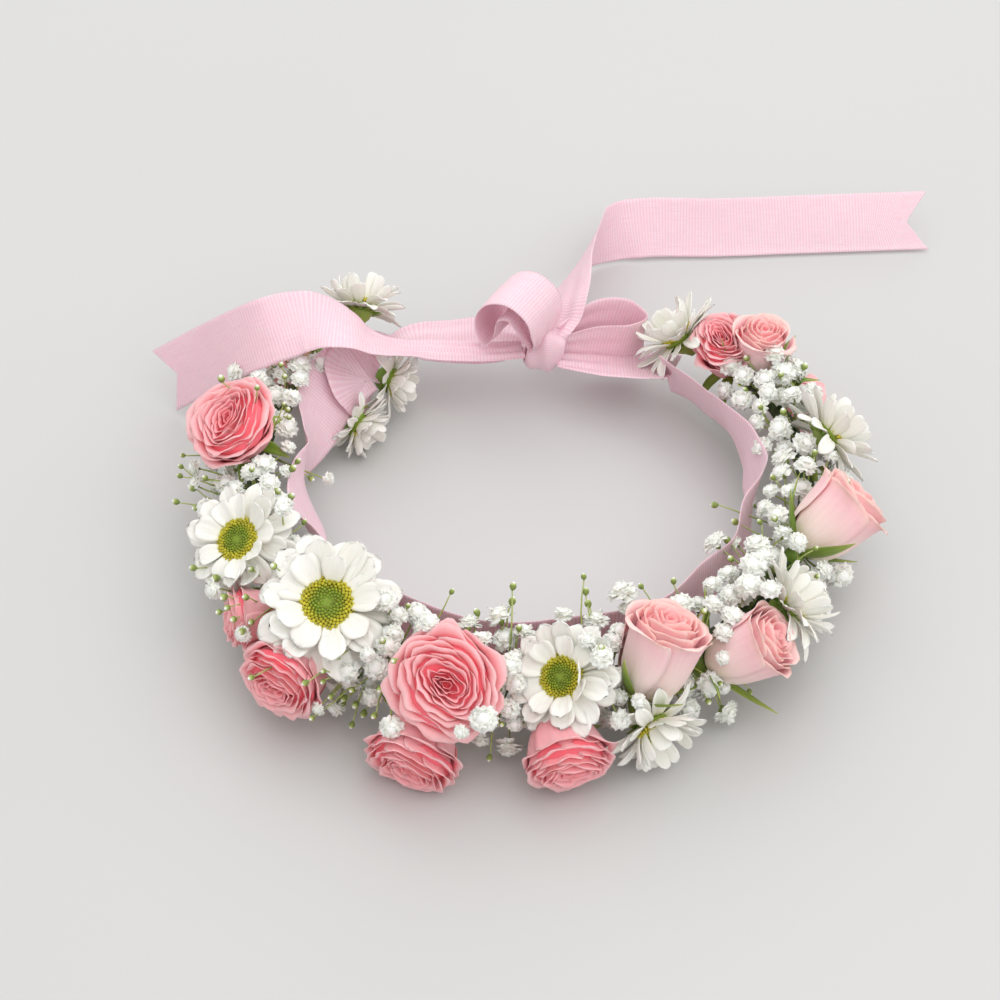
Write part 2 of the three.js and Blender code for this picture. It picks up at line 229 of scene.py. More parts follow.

# %% [markdown]
# A petal is thin and wet, so light goes into it and comes out a little redder.
# Subsurface scattering over a fraction of a millimetre gives that glow. The colour runs
# from the pale base to the rim and varies from petal to petal. It deepens towards the heart
# of the bloom and the base of each petal. This is partly the bloom's own deeper heart and partly
# painted shade in the crevices between the petals.

# %% Petal materials
def petal_material(name, along, deep, deep_and_shade_share, fineness, roughness, scatter):
    """A petal with its colours from base to rim, and a deeper colour at the heart that is partly painted
    shade in the crevices.
    """
    material, tree, shader = new_material(name)
    up, petal, depth, veins = petal_parts(tree, fineness)
    body = ramp(tree, up, along)
    # painted shade: deeper in the bloom and lower on each petal the colour goes towards the deep colour,
    # partly the heart's own colour and partly the shade of the crevices
    low = maths(tree, "MULTIPLY_ADD", up, -0.55, 1.0)
    heart = maths(tree, "MULTIPLY", maths(tree, "MULTIPLY", depth, deep_and_shade_share), low)
    body = mix(tree, "MIX", heart, body, colour(deep))
    lighter = maths(tree, "MULTIPLY", petal, 0.22)
    body = mix(tree, "MIX", lighter, body, mix(tree, "SOFT_LIGHT", 1.0, body, (1, 1, 1, 1)))
    streaks = ramp(tree, veins, [(0.3, "#ececec"), (0.7, "#ffffff")])
    body = mix(tree, "MULTIPLY", 0.35, body, streaks)
    tree.links.new(body, shader.inputs["Base Color"])
    set_shader(shader, Roughness=roughness, Specular_IOR_Level=0.3, Subsurface_Weight=scatter,
               Subsurface_Radius=(1.0, 0.85, 0.85), Subsurface_Scale=0.0003)
    add_bump(tree, shader, veins, 0.25, 0.0003)
    return material


# the colour after each ramp is the deep colour: for the roses partly their own deeper heart and partly
# painted crevice shade, for baby's breath painted shade in the blossom's hollow
CORAL = petal_material(
    "coral rose petal",
    [(0.0, "#ffe2b8"), (0.3, "#ffacb2"), (0.75, "#ffb7bd"), (0.98, "#ffc3c5")],
    "#ff3f5e", 0.85, 9.0, 0.5, 0.5)
PEACH = petal_material(
    "peach rose petal",
    [(0.0, "#fdf4cf"), (0.3, "#ffe2da"), (0.75, "#ffc8ce"), (0.98, "#ffd0c8")],
    "#ff8699", 0.8, 9.0, 0.48, 0.5)
DAISY_WHITE = petal_material(
    "daisy ray",
    [(0.0, "#cfd868"), (0.1, "#f2f0cf"), (0.28, "#f5f3ea"), (1.0, "#f5f4ee")],
    "#f0eee2", 0.4, 7.0, 0.5, 0.3)
SNOW = petal_material(
    "baby's breath petal",
    [(0.0, "#e0eac2"), (0.35, "#f9fbf0"), (1.0, "#fcfcf8")],
    "#eaf0d6", 0.6, 4.0, 0.6, 0.4)
print("petal materials:", CORAL.name, PEACH.name, DAISY_WHITE.name, SNOW.name)

# %% [markdown]
# The green parts are calyxes, sepals and stems. They are duller underneath and paler
# towards the tips. The daisy's heart is a dome of tiny tubes, green in the middle where
# they are still buds and yellow at the ring that is open.

# %% Green and heart materials
def green_material(name, along, fineness, roughness):
    """A leaf, sepal or stem with its colours from base to tip."""
    material, tree, shader = new_material(name)
    up, petal, _, veins = petal_parts(tree, fineness)
    body = ramp(tree, up, along)
    shade = ramp(tree, veins, [(0.3, "#a8a8a8"), (0.7, "#ffffff")])
    body = mix(tree, "MULTIPLY", 0.8, body, shade)
    dry = maths(tree, "MULTIPLY", petal, 0.25)
    body = mix(tree, "MIX", dry, body, colour("#b9ae5a"))
    tree.links.new(body, shader.inputs["Base Color"])
    set_shader(shader, Roughness=roughness, Subsurface_Weight=0.15, Subsurface_Scale=0.001)
    add_bump(tree, shader, veins, 0.4, 0.0003)
    return material


SEPAL = green_material("sepal", [(0.0, "#9fbf52"), (0.6, "#79a532"), (1.0, "#b5c960")], 6.0, 0.45)
STEM = green_material("fine stem", [(0.0, "#6f8f42"), (0.6, "#a9bf5c"), (1.0, "#c3d383")], 3.0, 0.5)
FLORET = green_material(
    "daisy floret",
    [(0.0, "#7c9c22"), (0.5, "#94ab24"), (0.72, "#cfc62c"), (1.0, "#e2d640")], 2.0, 0.6)
print("green materials:", SEPAL.name, STEM.name, FLORET.name)

# %% [markdown]
# Grosgrain is a ribbed ribbon: thick cords of weft lie across it, and a fine silky warp
# covers them. The ribs are modelled, and the material adds what is finer: threads along
# the warp, a painted highlight on each rib's crest with painted shade in its groove, and a
# soft sheen. Florist's tape is crinkled paper with wax in it, and the hoop under it is plain
# galvanised wire.

# %% Ribbon, tape and wire materials
def ribbon_material():
    """Pink grosgrain with fine threads, and painted highlights on the rib crests with painted shade in
    the grooves.
    """
    material, tree, shader = new_material("pink grosgrain")
    rib, across, along, _ = painted(tree)
    # painted highlight and shade: the rib mark makes each crest paler and each groove deeper pink
    body = ramp(tree, rib, [(0.0, "#f2c9d4"), (0.6, "#f7d5df"), (1.0, "#fadfe7")])
    place = add_node(tree, "ShaderNodeCombineXYZ")
    tree.links.new(maths(tree, "MULTIPLY", across, 160.0), place.inputs["X"])
    tree.links.new(maths(tree, "MULTIPLY", along, 40.0), place.inputs["Y"])
    threads = noise(tree, place.outputs["Vector"], 1.0)
    shade = ramp(tree, threads, [(0.25, "#e9e2e5"), (0.75, "#ffffff")])
    body = mix(tree, "MULTIPLY", 0.7, body, shade)
    tree.links.new(body, shader.inputs["Base Color"])
    set_shader(shader, Roughness=0.38, Specular_IOR_Level=0.5, Subsurface_Weight=0.25,
               Subsurface_Radius=(1.0, 0.35, 0.45), Subsurface_Scale=0.0012,
               Sheen_Weight=0.35, Sheen_Roughness=0.4, Sheen_Tint=colour("#ffe3ec"))
    add_bump(tree, shader, threads, 0.25, 0.0001)
    return material


def tape_material():
    """Waxed crepe paper, dark green, wound in overlapping turns."""
    material, tree, shader = new_material("florist's tape")
    position = add_node(tree, "ShaderNodeTexCoord").outputs["Object"]
    crinkle = noise(tree, position, 900.0, 4.0)
    body = ramp(tree, crinkle, [(0.3, "#26351a"), (0.7, "#4c6334")])
    tree.links.new(body, shader.inputs["Base Color"])
    set_shader(shader, Roughness=0.6)
    add_bump(tree, shader, crinkle, 0.6, 0.0004)
    return material


def wire_material():
    """Galvanised wire with small bright and dull patches."""
    material, tree, shader = new_material("galvanised wire")
    position = add_node(tree, "ShaderNodeTexCoord").outputs["Object"]
    patches = noise(tree, position, 600.0)
    body = ramp(tree, patches, [(0.35, "#8c8f8c"), (0.65, "#b9bbb8")])
    tree.links.new(body, shader.inputs["Base Color"])
    rough = maths(tree, "MULTIPLY_ADD", patches, 0.3)
    tree.links.new(rough, shader.inputs["Roughness"])
    set_shader(shader, Metallic=1.0)
    return material


RIBBON = ribbon_material()
TAPE = tape_material()
WIRE = wire_material()
print("cloth and hoop materials:", RIBBON.name, TAPE.name, WIRE.name)

# %% [markdown]
# Every thin piece here, from a ribbon to a petal, is a grid of points given a real
# thickness: a front face, a back face and a rim that joins them. A heap collects many
# such skins and tubes and becomes one mesh, with the painted numbers on its points.

# %% Mesh helpers
# how thick each thin part is, in metres
ROSE_PETAL_THICKNESS = 0.22 * MM
RAY_THICKNESS = 0.35 * MM
BLOSSOM_THICKNESS = 0.15 * MM
SEPAL_THICKNESS = 0.4 * MM
BRACT_THICKNESS = 0.3 * MM
TAPE_THICKNESS = 0.3 * MM
RIBBON_THICKNESS = 0.35 * MM
KNOT_THICKNESS = 0.5 * MM


def quad_grid(rows, columns, start, flip):
    """The quads of a grid of points whose first point has the index start."""
    i, j = np.meshgrid(np.arange(rows - 1), np.arange(columns - 1), indexing="ij")
    a = (start + i * columns + j).ravel()
    quads = np.stack([a, a + 1, a + columns + 1, a + columns], axis=1)
    return quads[:, ::-1] if flip else quads


def rim_quads(rows, columns):
    """The quads that join the border of a front grid to that of the back grid."""
    top = np.arange(columns)
    right = np.arange(1, rows) * columns + columns - 1
    bottom = (rows - 1) * columns + np.arange(columns - 2, -1, -1)
    left = np.arange(rows - 2, -1, -1) * columns
    loop = np.concatenate([top, right, bottom, left])
    a, b = loop[:-1], loop[1:]
    back = rows * columns
    return np.stack([b, a, a + back, b + back], axis=1)


def ring_quads(count, sides):
    """The quads between rings of points that follow one another along a tube."""
    i, j = np.meshgrid(np.arange(count - 1), np.arange(sides), indexing="ij")
    a = (i * sides + j).ravel()
    b = (i * sides + (j + 1) % sides).ravel()
    return np.stack([a, a + sides, b + sides, b], axis=1)


class Heap:
    """Many small skins and tubes that end up as one mesh."""

    def __init__(self):
        self.points, self.quads, self.marks, self.slots, self.count = [], [], [], [], 0

    def add(self, points, quads, marks, material=0):
        self.points.append(points)
        self.quads.append(quads + self.count)
        self.marks.append(marks)
        self.slots.append(np.full(len(quads), material))
        self.count += len(points)

    def skin(self, grid, thickness, marks, material=0):
        """A closed skin round a grid. Marks are the painted numbers of each grid point."""
        rows, columns = grid.shape[:2]
        normal = np.cross(np.gradient(grid, axis=1), np.gradient(grid, axis=0))
        normal /= np.maximum(np.linalg.norm(normal, axis=2, keepdims=True), 1e-12)
        half = np.full((rows, columns, 1), thickness / 2)
        half[[0, -1]] *= 0.5
        half[:, [0, -1]] *= 0.5
        front, back = grid + normal * half, grid - normal * half
        points = np.concatenate([front.reshape(-1, 3), back.reshape(-1, 3)])
        quads = np.concatenate([
            quad_grid(rows, columns, 0, False),
            quad_grid(rows, columns, rows * columns, True),
            rim_quads(rows, columns)])
        flat = marks.reshape(-1, 4)
        self.add(points, quads, np.concatenate([flat, flat]), material)

    def tube(self, line, radii, sides, marks, material=0):
        """A closed tube along a line of points. Marks are given for each line point."""
        line = np.asarray(line, float)
        along = np.gradient(line, axis=0)
        along /= np.maximum(np.linalg.norm(along, axis=1, keepdims=True), 1e-12)
        helper = np.where(np.abs(along[:, 2:3]) > 0.9, [[1.0, 0, 0]], [[0, 0, 1.0]])
        side = np.cross(along, helper)
        side /= np.linalg.norm(side, axis=1, keepdims=True)
        up = np.cross(side, along)
        turn = np.linspace(0, 2 * np.pi, sides, endpoint=False)
        radii = np.broadcast_to(radii, len(line))
        c, s = np.cos(turn)[None, :, None], np.sin(turn)[None, :, None]
        ring = side[:, None] * c + up[:, None] * s
        points = line[:, None] + ring * radii[:, None, None]
        caps = []
        for first, flip in ((0, False), ((len(line) - 1) * sides, True)):
            for k in range(1, sides - 1, 2):
                corner = [first, first + k, first + k + 1, first + min(k + 2, sides - 1)]
                caps.append([corner[i] for i in (1, 0, 3, 2)] if flip else corner)
        quads = np.concatenate([ring_quads(len(line), sides), np.array(caps)])
        marks = np.repeat(np.asarray(marks, float).reshape(len(line), 4), sides, axis=0)
        self.add(points.reshape(-1, 3), quads, marks, material)

    def object(self, name, materials):
        """The heap as one shaded mesh object, linked to the scene."""
        points = np.concatenate(self.points)
        quads = np.concatenate(self.quads)
        slots = np.concatenate(self.slots)
        mesh = bpy.data.meshes.new(name)
        is_triangle = quads[:, 2] == quads[:, 3]
        sizes = np.where(is_triangle, 3, 4)
        loops = quads.ravel()
        if is_triangle.any():
            loops = np.concatenate([q[:n] for q, n in zip(quads, sizes)])
        starts = np.concatenate([[0], np.cumsum(sizes)[:-1]])
        mesh.vertices.add(len(points))
        mesh.loops.add(len(loops))
        mesh.polygons.add(len(quads))
        mesh.vertices.foreach_set("co", points.astype(np.float32).ravel())
        mesh.loops.foreach_set("vertex_index", loops.astype(np.int32))
        mesh.polygons.foreach_set("loop_start", starts.astype(np.int32))
        mesh.polygons.foreach_set("material_index", slots.astype(np.int32))
        mesh.polygons.foreach_set("use_smooth", np.ones(len(quads), bool))
        paint = mesh.attributes.new("petal", "FLOAT_COLOR", "POINT")
        paint.data.foreach_set("color", np.concatenate(self.marks).astype(np.float32).ravel())
        mesh.update(calc_edges=True)
        mesh.validate()
        for material in materials:
            mesh.materials.append(material)
        piece = bpy.data.objects.new(name, mesh)
        bpy.context.scene.collection.objects.link(piece)
        return piece


def marks_of(rows, columns, petal, depth):
    """Painted numbers for a grid: along, across, petal and depth."""
    along = np.broadcast_to(np.linspace(0, 1, rows)[:, None], (rows, columns))
    across = np.broadcast_to(np.linspace(0, 1, columns)[None, :], (rows, columns))
    fixed = [np.full((rows, columns), value) for value in (petal, depth)]
    return np.stack([along, across, *fixed], axis=2)


def line_marks(count, petal, start=0.0, end=1.0):
    """Painted numbers for a tube: only along and petal vary."""
    along = np.linspace(start, end, count)
    return np.stack([along, np.full(count, 0.5), np.full(count, petal), np.zeros(count)], axis=1)


def plain_marks(count):
    """Painted numbers for a tube that has no pattern."""
    return np.tile([0.5, 0.5, 0.5, 0], (count, 1))


def keep_above_table(points, floor=0.0003, soft=0.003):
    """Soft parts that would reach below the table are pressed flat against it."""
    low = points[..., 2] < floor + soft
    squeezed = floor + soft * np.exp((points[..., 2] - floor - soft) / soft)
    points[..., 2] = np.where(low, squeezed, points[..., 2])
    return points


print("mesh helpers ready")

# %% [markdown]
# Each bloom's place is read from its solids. The foot is where its stem meets the hoop,
# the axis runs from the foot through the middle of the head, and the head's length and
# width along that axis give the bloom its size.

# %% Read a bloom's place from the frame
TAPE_LOW, TAPE_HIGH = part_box("floral_tape")
TAPE_SOLID_RADIUS = 3
HOOP_RADIUS = (TAPE_HIGH.x - TAPE_LOW.x) / 2 - TAPE_SOLID_RADIUS * MM
HOOP_HEIGHT = (TAPE_LOW.z + TAPE_HIGH.z) / 2
# points of a stem no farther than this beyond its nearest one to the hoop are its root
ROOT_REACH = 1.8


def node_points(name):
    """The points of a solid as an array."""
    mesh = frame["nodes"][name].data
    points = np.zeros(len(mesh.vertices) * 3)
    mesh.vertices.foreach_get("co", points)
    return points.reshape(-1, 3)


def node_middle(name):
    """The centre of a solid's volume."""
    mesh = frame["nodes"][name].data
    mesh.calc_loop_triangles()
    points = node_points(name)
    corners = np.array([points[list(t.vertices)] for t in mesh.loop_triangles])
    volume = np.einsum("ij,ij->i", corners[:, 0], np.cross(corners[:, 1], corners[:, 2]))
    return (corners.sum(axis=1) / 4 * volume[:, None]).sum(axis=0) / volume.sum()


# small corrections to a head: a shift in mm, and a lean added to its axis
ADJUST = {
    "rose_07_petals": ((-5, -3, -1), (-0.43, 0.37, 0.14)),
    "rose_08_petals": ((-2, -2, 0), (-0.13, 0.1, 0.25)),
    "rose_09_petals": ((-2, 0, 0), (0, 0, 0)),
    "rose_11_petals": ((-4, -4, -3), (-0.1, -0.3, 0)),
    "rose_12_petals": ((1, -8, -5), (0.1, -0.5, 0)),
    "daisy_05": ((2, 0, -2), (0, 0.15, 0)),
    "daisy_06": ((-7, 5, 5), (0, 0, 0)),
    "daisy_07": ((1, -8, -4), (-0.3, 0.35, 0.4)),
    "daisy_08": ((8, 0, 4), (0, 0, 0.2)),
    "daisy_09": ((4, -3, -2), (0, 0, 0)),
    "daisy_10": ((2, -4, -2), (0, 0, 0)),
}


def bloom_root(foot_node):
    """The point where a stem is bound to the hoop."""
    stem = node_points(foot_node)
    off_hoop = np.hypot(np.hypot(stem[:, 0], stem[:, 1]) - HOOP_RADIUS, stem[:, 2] - HOOP_HEIGHT)
    return stem[off_hoop < off_hoop.min() + ROOT_REACH * MM].mean(axis=0)


def bloom_place(head, foot_node):
    """The foot, the axis, the lowest and highest reach of the head along it, its radius."""
    foot = bloom_root(foot_node)
    axis = node_middle(head) - foot
    axis /= np.linalg.norm(axis)
    reach = node_points(head) - foot
    along = reach @ axis
    radius = np.linalg.norm(reach - along[:, None] * axis, axis=1).max()
    shift, lean = (np.array(v, float) for v in ADJUST.get(head, ((0, 0, 0), (0, 0, 0))))
    middle = node_middle(head) + shift * MM
    distance = np.linalg.norm(node_middle(head) - foot)
    axis = axis + lean
    axis /= np.linalg.norm(axis)
    return middle - axis * distance, axis, along.min(), along.max(), radius


def bloom_turn(axis, spin):
    """A rotation whose third column is the axis, spun round it."""
    helper = np.array([0.0, 0, 1]) if abs(axis[2]) < 0.9 else np.array([1.0, 0, 0])
    x = np.cross(helper, axis)
    x /= np.linalg.norm(x)
    y = np.cross(axis, x)
    c, s = math.cos(spin), math.sin(spin)
    return np.stack([c * x + s * y, -s * x + c * y, axis], axis=1)


SLOT_OF = {entry["node"]: entry["material_slot"] for entry in frame["record"]["subparts"]}


def settle(piece, node, body):
    """Hides the solid that a piece stands for and attaches the piece to the body that it rides on."""
    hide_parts(node)
    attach(piece, body)
    return piece


print("hoop radius %.1f mm at %.1f mm" % (HOOP_RADIUS / MM, HOOP_HEIGHT / MM))

# %% [markdown]
# A rose petal is drawn in the bloom's own cylinder: it wraps round the axis by some
# angle, and its middle line climbs a curve from the base to the rim. One edge lies
# inside its neighbour and the other outside, which is what gives a rose its spiral.
# Nothing in a real bloom is quite round, so a slow wander then shifts whole
# neighbourhoods of petals together. They stay nested, and their rims turn into folds.

# %% One rose petal
PETAL_ROWS, PETAL_COLUMNS = 11, 15


def curve_through(corners, t):
    """A cubic Bezier through four corners at t."""
    a, b, c, d = (np.asarray(corner, float) for corner in corners)
    t = t[..., None]
    s = 1 - t
    return s ** 3 * a + 3 * s ** 2 * t * b + 3 * s * t ** 2 * c + t ** 3 * d


def rose_petal(rng, angle, corners, half_angle, ruffle, spiral, round_top):
    """The grid of one petal in millimetres, in the bloom's own frame."""
    v = np.linspace(0, 1, PETAL_ROWS)[:, None] * np.ones((1, PETAL_COLUMNS))
    u = np.linspace(-1, 1, PETAL_COLUMNS)[None, :] * np.ones((PETAL_ROWS, 1))
    climb = v * (1 - round_top * np.abs(u) ** 3 + 0.03 * np.exp(-(u / 0.25) ** 2) * v ** 4)
    middle = curve_through(corners, climb)
    widen = 0.35 + 0.65 * np.clip(climb / 0.45, 0, 1) ** 0.8
    pull_in = 1 - 0.3 * np.clip((climb - 0.6) / 0.4, 0, 1) ** 2
    turn = angle + half_angle * u * widen * pull_in
    phase = rng.uniform(0, 2 * np.pi, 3)
    wave = np.sin(1.6 * np.pi * u + phase[0]) + 0.5 * np.sin(3.1 * np.pi * u + phase[1])
    radius = middle[..., 0] * (1 + spiral * u) + ruffle * v ** 3 * wave
    height = middle[..., 1] + 0.6 * ruffle * v ** 4 * np.cos(1.3 * np.pi * u + phase[2])
    return np.stack([radius * np.cos(turn), radius * np.sin(turn), height], axis=2)


def wander(points, phase, size, amount, low, high):
    """Shifts points sideways by smooth waves that grow from the height low to high."""
    x, y, z = (points[..., k] / size for k in range(3))
    lift = np.clip((points[..., 2] - low) / (high - low), 0, 1) ** 1.5
    dx = np.sin(2.3 * y + 1.2 * z + phase[0]) + 0.7 * np.sin(5.1 * y - 3.3 * x + phase[1])
    dy = np.sin(2.6 * x - 1.1 * z + phase[2]) + 0.7 * np.sin(5.7 * x + 2.9 * y + phase[3])
    fine = 0.45 * np.sin(10.5 * x + 4.0 * y + phase[4]) * np.sin(9.1 * y - 5.0 * x + phase[5])
    shift = np.stack([dx + fine, dy - fine, 0.6 * fine], axis=-1)
    return points + amount * size * lift[..., None] * shift


print("one petal has", PETAL_ROWS * PETAL_COLUMNS, "points on each face")

# %% [markdown]
# An open garden rose has a tight folded heart, several whorls of standing petals and a
# few guard petals that fall outwards. A bud is taller, with a belly, and only its
# outermost petals have begun to roll back. Both are lists of whorls, from the heart out.

# %% Rose whorls
# petals, rim radius, rim height, half angle, ruffle and roll, as shares of the bloom
OPEN_ROSE = [
    (3, 0.10, 0.30, 2.0, 0.015, 0.0),
    (4, 0.19, 0.335, 1.5, 0.02, 0.0),
    (5, 0.29, 0.36, 1.25, 0.02, 0.0),
    (5, 0.39, 0.375, 1.1, 0.02, 0.01),
    (5, 0.50, 0.375, 1.0, 0.02, 0.02),
    (5, 0.61, 0.36, 0.95, 0.02, 0.03),
    (5, 0.73, 0.325, 0.9, 0.025, 0.05),
    (5, 0.84, 0.26, 0.95, 0.03, 0.06),
    (5, 0.93, 0.13, 0.95, 0.04, 0.06),
]
BUD_ROSE = [
    (3, 0.14, 0.42, 2.0, 0.01, 0.0),
    (4, 0.28, 0.44, 1.5, 0.015, 0.01),
    (4, 0.43, 0.44, 1.3, 0.02, 0.04),
    (5, 0.58, 0.43, 1.05, 0.02, 0.07),
    (4, 0.72, 0.41, 1.1, 0.025, 0.12),
    (4, 0.86, 0.35, 1.05, 0.03, 0.2),
]
# how far in and how far below the rim a petal's neck is, and how wide its belly is
OPEN_SHAPE = (0.7, 0.07, 1.0)
BUD_SHAPE = (0.8, 0.16, 1.3)
# the direction of the folded heart in radians, where one is known
HEART_FOLDS = {1: 1.75, 2: 0.4, 3: 0.65}


def rose_corners(radius, depth, rim_radius, rim_height, roll, shape):
    """The middle line of a petal: base, belly, neck and rim as (radius, height)."""
    neck_in, neck_drop, belly = shape
    base = -0.48 * depth
    rim = ((rim_radius + roll) * radius, rim_height * depth - roll * 0.35 * radius)
    neck = (rim_radius * radius * neck_in, (rim_height - neck_drop + 0.8 * roll) * depth)
    wide = (rim_radius * radius * belly * 0.9 + 0.08 * radius, base + 0.12 * depth)
    return [(0.1 * radius + 0.16 * rim_radius * radius, base), wide, neck, rim]


def fold_heart(points, direction, radius, low, high):
    """Draws the heart of a bloom out along one direction and pinches it across."""
    c, s = math.cos(direction), math.sin(direction)
    along = points[..., 0] * c + points[..., 1] * s
    across = points[..., 1] * c - points[..., 0] * s
    lift = np.clip((points[..., 2] - low) / (high - low), 0, 1)
    near = lift * np.exp(-(along ** 2 + across ** 2) / (0.6 * radius) ** 2)
    along, across = along * (1 + 0.3 * near), across * (1 - 0.42 * near)
    return np.stack([along * c - across * s, along * s + across * c, points[..., 2]], axis=-1)


def add_packed_heart(heap, whorls, radius, depth, centre, turn, rng):
    """The petals packed deep between the whorls, as one solid swell under their rims."""
    rims = np.array([(0.0, whorls[0][2])] + [(w[1], w[2]) for w in whorls[:-1]])
    across = rims[:, 0] * 0.93 * radius
    heights = (rims[:, 1] - 0.13) * depth
    line = np.outer(np.concatenate([heights, [-0.46 * depth]])[::-1], [0, 0, 1.0])
    widths = np.concatenate([across, [0.2 * radius]])[::-1]
    widths[-1] = 0.05
    sides, count = 24, len(line)
    round_turn = np.linspace(0, 2 * np.pi, sides, endpoint=False)
    lumps = 1 + 0.05 * np.sin(5 * round_turn[None, :] + np.arange(count)[:, None] * 2.1)
    ring = np.stack([np.cos(round_turn), np.sin(round_turn)], axis=1)
    points = np.zeros((count, sides, 3))
    points[..., :2] = (widths[:, None] * lumps)[..., None] * ring[None]
    points[..., 2] = line[:, 2:]
    # its depth mark is high, so it takes mostly the deep colour, which is partly painted crevice shade
    marks = np.tile([0.35, 0.5, rng.random(), 0.9], (count * sides, 1))
    place = keep_above_table(centre + (points.reshape(-1, 3) * MM) @ turn.T)
    heap.add(place, ring_quads(count, sides)[:, [0, 3, 2, 1]], marks)


def make_rose(number, body):
    """The petals of one rose, as one piece."""
    name = "rose_%02d_petals" % number
    rng = np.random.default_rng(100 + number)
    foot, axis, low, high, radius = bloom_place(name, "rose_%02d_calyx" % number)
    is_bud = SLOT_OF[name] == "peach_petal"
    depth = (high - low) / 0.9 / MM
    radius = radius / MM
    turn = bloom_turn(axis, 0)
    centre = foot + axis * (low + 0.5 * depth * MM)
    whorls, shape = (BUD_ROSE, BUD_SHAPE) if is_bud else (OPEN_ROSE, OPEN_SHAPE)
    looseness = 0.035 if is_bud else 0.06
    fold = HEART_FOLDS.get(number, rng.uniform(0, np.pi))
    start = rng.uniform(0, 2 * np.pi)
    phase = rng.uniform(0, 2 * np.pi, 6)
    heap = Heap()
    for layer, (count, rim_radius, rim_height, half_angle, ruffle, roll) in enumerate(whorls):
        share = layer / (len(whorls) - 1)
        for k in range(count):
            angle = start + 2 * np.pi * (k + 0.37 * layer) / count + rng.normal(0, 0.12)
            lift = rim_height + rng.normal(0, 0.012)
            corners = rose_corners(radius, depth, rim_radius * rng.uniform(0.97, 1.03), lift,
                                   roll * rng.uniform(0.6, 1.5), shape)
            grid = rose_petal(rng, angle, corners, half_angle, ruffle * radius,
                              rng.uniform(0.05, 0.09), rng.uniform(0.1, 0.22))
            grid = wander(grid, phase, radius, looseness, -0.3 * depth, 0.4 * depth)
            if not is_bud:
                grid = fold_heart(grid, fold, radius, -0.3 * depth, 0.3 * depth)
            place = keep_above_table(centre + (grid * MM) @ turn.T)
            # inner whorls get a higher depth mark, so more of the deep colour, which is partly painted
            # crevice shade
            marks = marks_of(*grid.shape[:2], rng.random(), (1 - share) ** 1.6)
            heap.skin(place, ROSE_PETAL_THICKNESS, marks)
    add_packed_heart(heap, whorls, radius, depth, centre, turn, rng)
    piece = heap.object("rose_%02d_bloom" % number, [PEACH if is_bud else CORAL])
    return settle(piece, name, body)


ROSE_COUNT = sum(name.endswith("_petals") for name in SLOT_OF)
roses = [make_rose(i + 1, "crown") for i in range(ROSE_COUNT)]
print(len(roses), "roses with", sum(len(r.data.polygons) for r in roses), "faces")

# %% [markdown]
# Under each bloom sits the calyx: a small green hip, five long sepals that have folded
# back from the bud, and the cut stem that is bound to the hoop. A sepal is a narrow leaf
# that leaves the hip flat against the petals and then curls away.

# %% Calyxes
# how much longer than usual a sepal is, and the ranges of its bend and its lift in radians
BUD_SEPAL = (1.25, (-0.55, 0.2), (0.4, 0.75))
OPEN_SEPAL = (0.9, (0.6, 1.9), (0.2, 0.6))


def bent_profile(length, angle):
    """How far out and how high a strip reaches, when it leans by an angle at each step."""
    step = length / (len(angle) - 1)
    x = np.concatenate([[0], np.cumsum(np.cos(angle[1:]) * step)])
    z = np.concatenate([[0], np.cumsum(np.sin(angle[1:]) * step)])
    return x, z


def leaf_grid(length, width, bend, lift, rows=12, columns=5):
    """A narrow pointed leaf in its own frame: +X along, +Z up, bending down its length."""
    t = np.linspace(0, 1, rows)
    x, z = bent_profile(length, lift - bend * t ** 1.3)
    half = 0.5 * width * np.sin(np.pi * np.clip(t * 0.93 + 0.07, 0, 1) ** 0.75) + 0.02 * width
    side = np.linspace(-1, 1, columns)
    y = half[:, None] * side[None, :]
    fold = 0.25 * half[:, None] * np.abs(side)[None, :]
    return np.stack([np.repeat(x[:, None], columns, 1), y, z[:, None] + fold], axis=2)


def spin_z(grid, angle):
    """A grid turned about its own Z axis."""
    c, s = math.cos(angle), math.sin(angle)
    return grid @ np.array([[c, s, 0], [-s, c, 0], [0, 0, 1.0]])


def make_calyx(number, body):
    """The hip, the sepals and the stem of one rose, as one piece."""
    name = "rose_%02d_calyx" % number
    rng = np.random.default_rng(300 + number)
    foot, axis, low, _, _ = bloom_place("rose_%02d_petals" % number, name)
    is_bud = SLOT_OF["rose_%02d_petals" % number] == "peach_petal"
    turn = bloom_turn(axis, rng.uniform(0, 2 * np.pi))
    heap = Heap()
    hip = low / MM
    heights = np.array([0, hip - 7.5, hip - 6, hip - 4, hip - 2, hip - 0.5, hip + 0.6])
    widths = np.array([1.2, 1.3, 1.7, 3.2, 3.7, 3.2, 2.9])
    line = foot + np.outer(heights * MM, axis)
    line[0] = bloom_root(name) - 1.5 * MM * axis
    heap.tube(line, widths * MM, 14, line_marks(7, rng.random(), 0.1, 0.6))
    longer, bends, lifts = BUD_SEPAL if is_bud else OPEN_SEPAL
    for k in range(5):
        length = rng.uniform(16, 22) * longer
        bend, lift = rng.uniform(*bends), rng.uniform(*lifts)
        leaf = leaf_grid(length, rng.uniform(3.8, 5.0), bend, lift)
        leaf = leaf + np.array([2.6, 0, hip - 0.8])
        leaf = spin_z(leaf, 2 * np.pi * k / 5 + rng.normal(0, 0.15))
        place = keep_above_table(foot + (leaf * MM) @ turn.T)
        heap.skin(place, SEPAL_THICKNESS, marks_of(*leaf.shape[:2], rng.random(), 0))
    return settle(heap.object("rose_%02d_hip_and_sepals" % number, [SEPAL]), name, body)


calyxes = [make_calyx(i + 1, "crown") for i in range(ROSE_COUNT)]
print(len(calyxes), "calyxes with", sum(len(c.data.polygons) for c in calyxes), "faces")

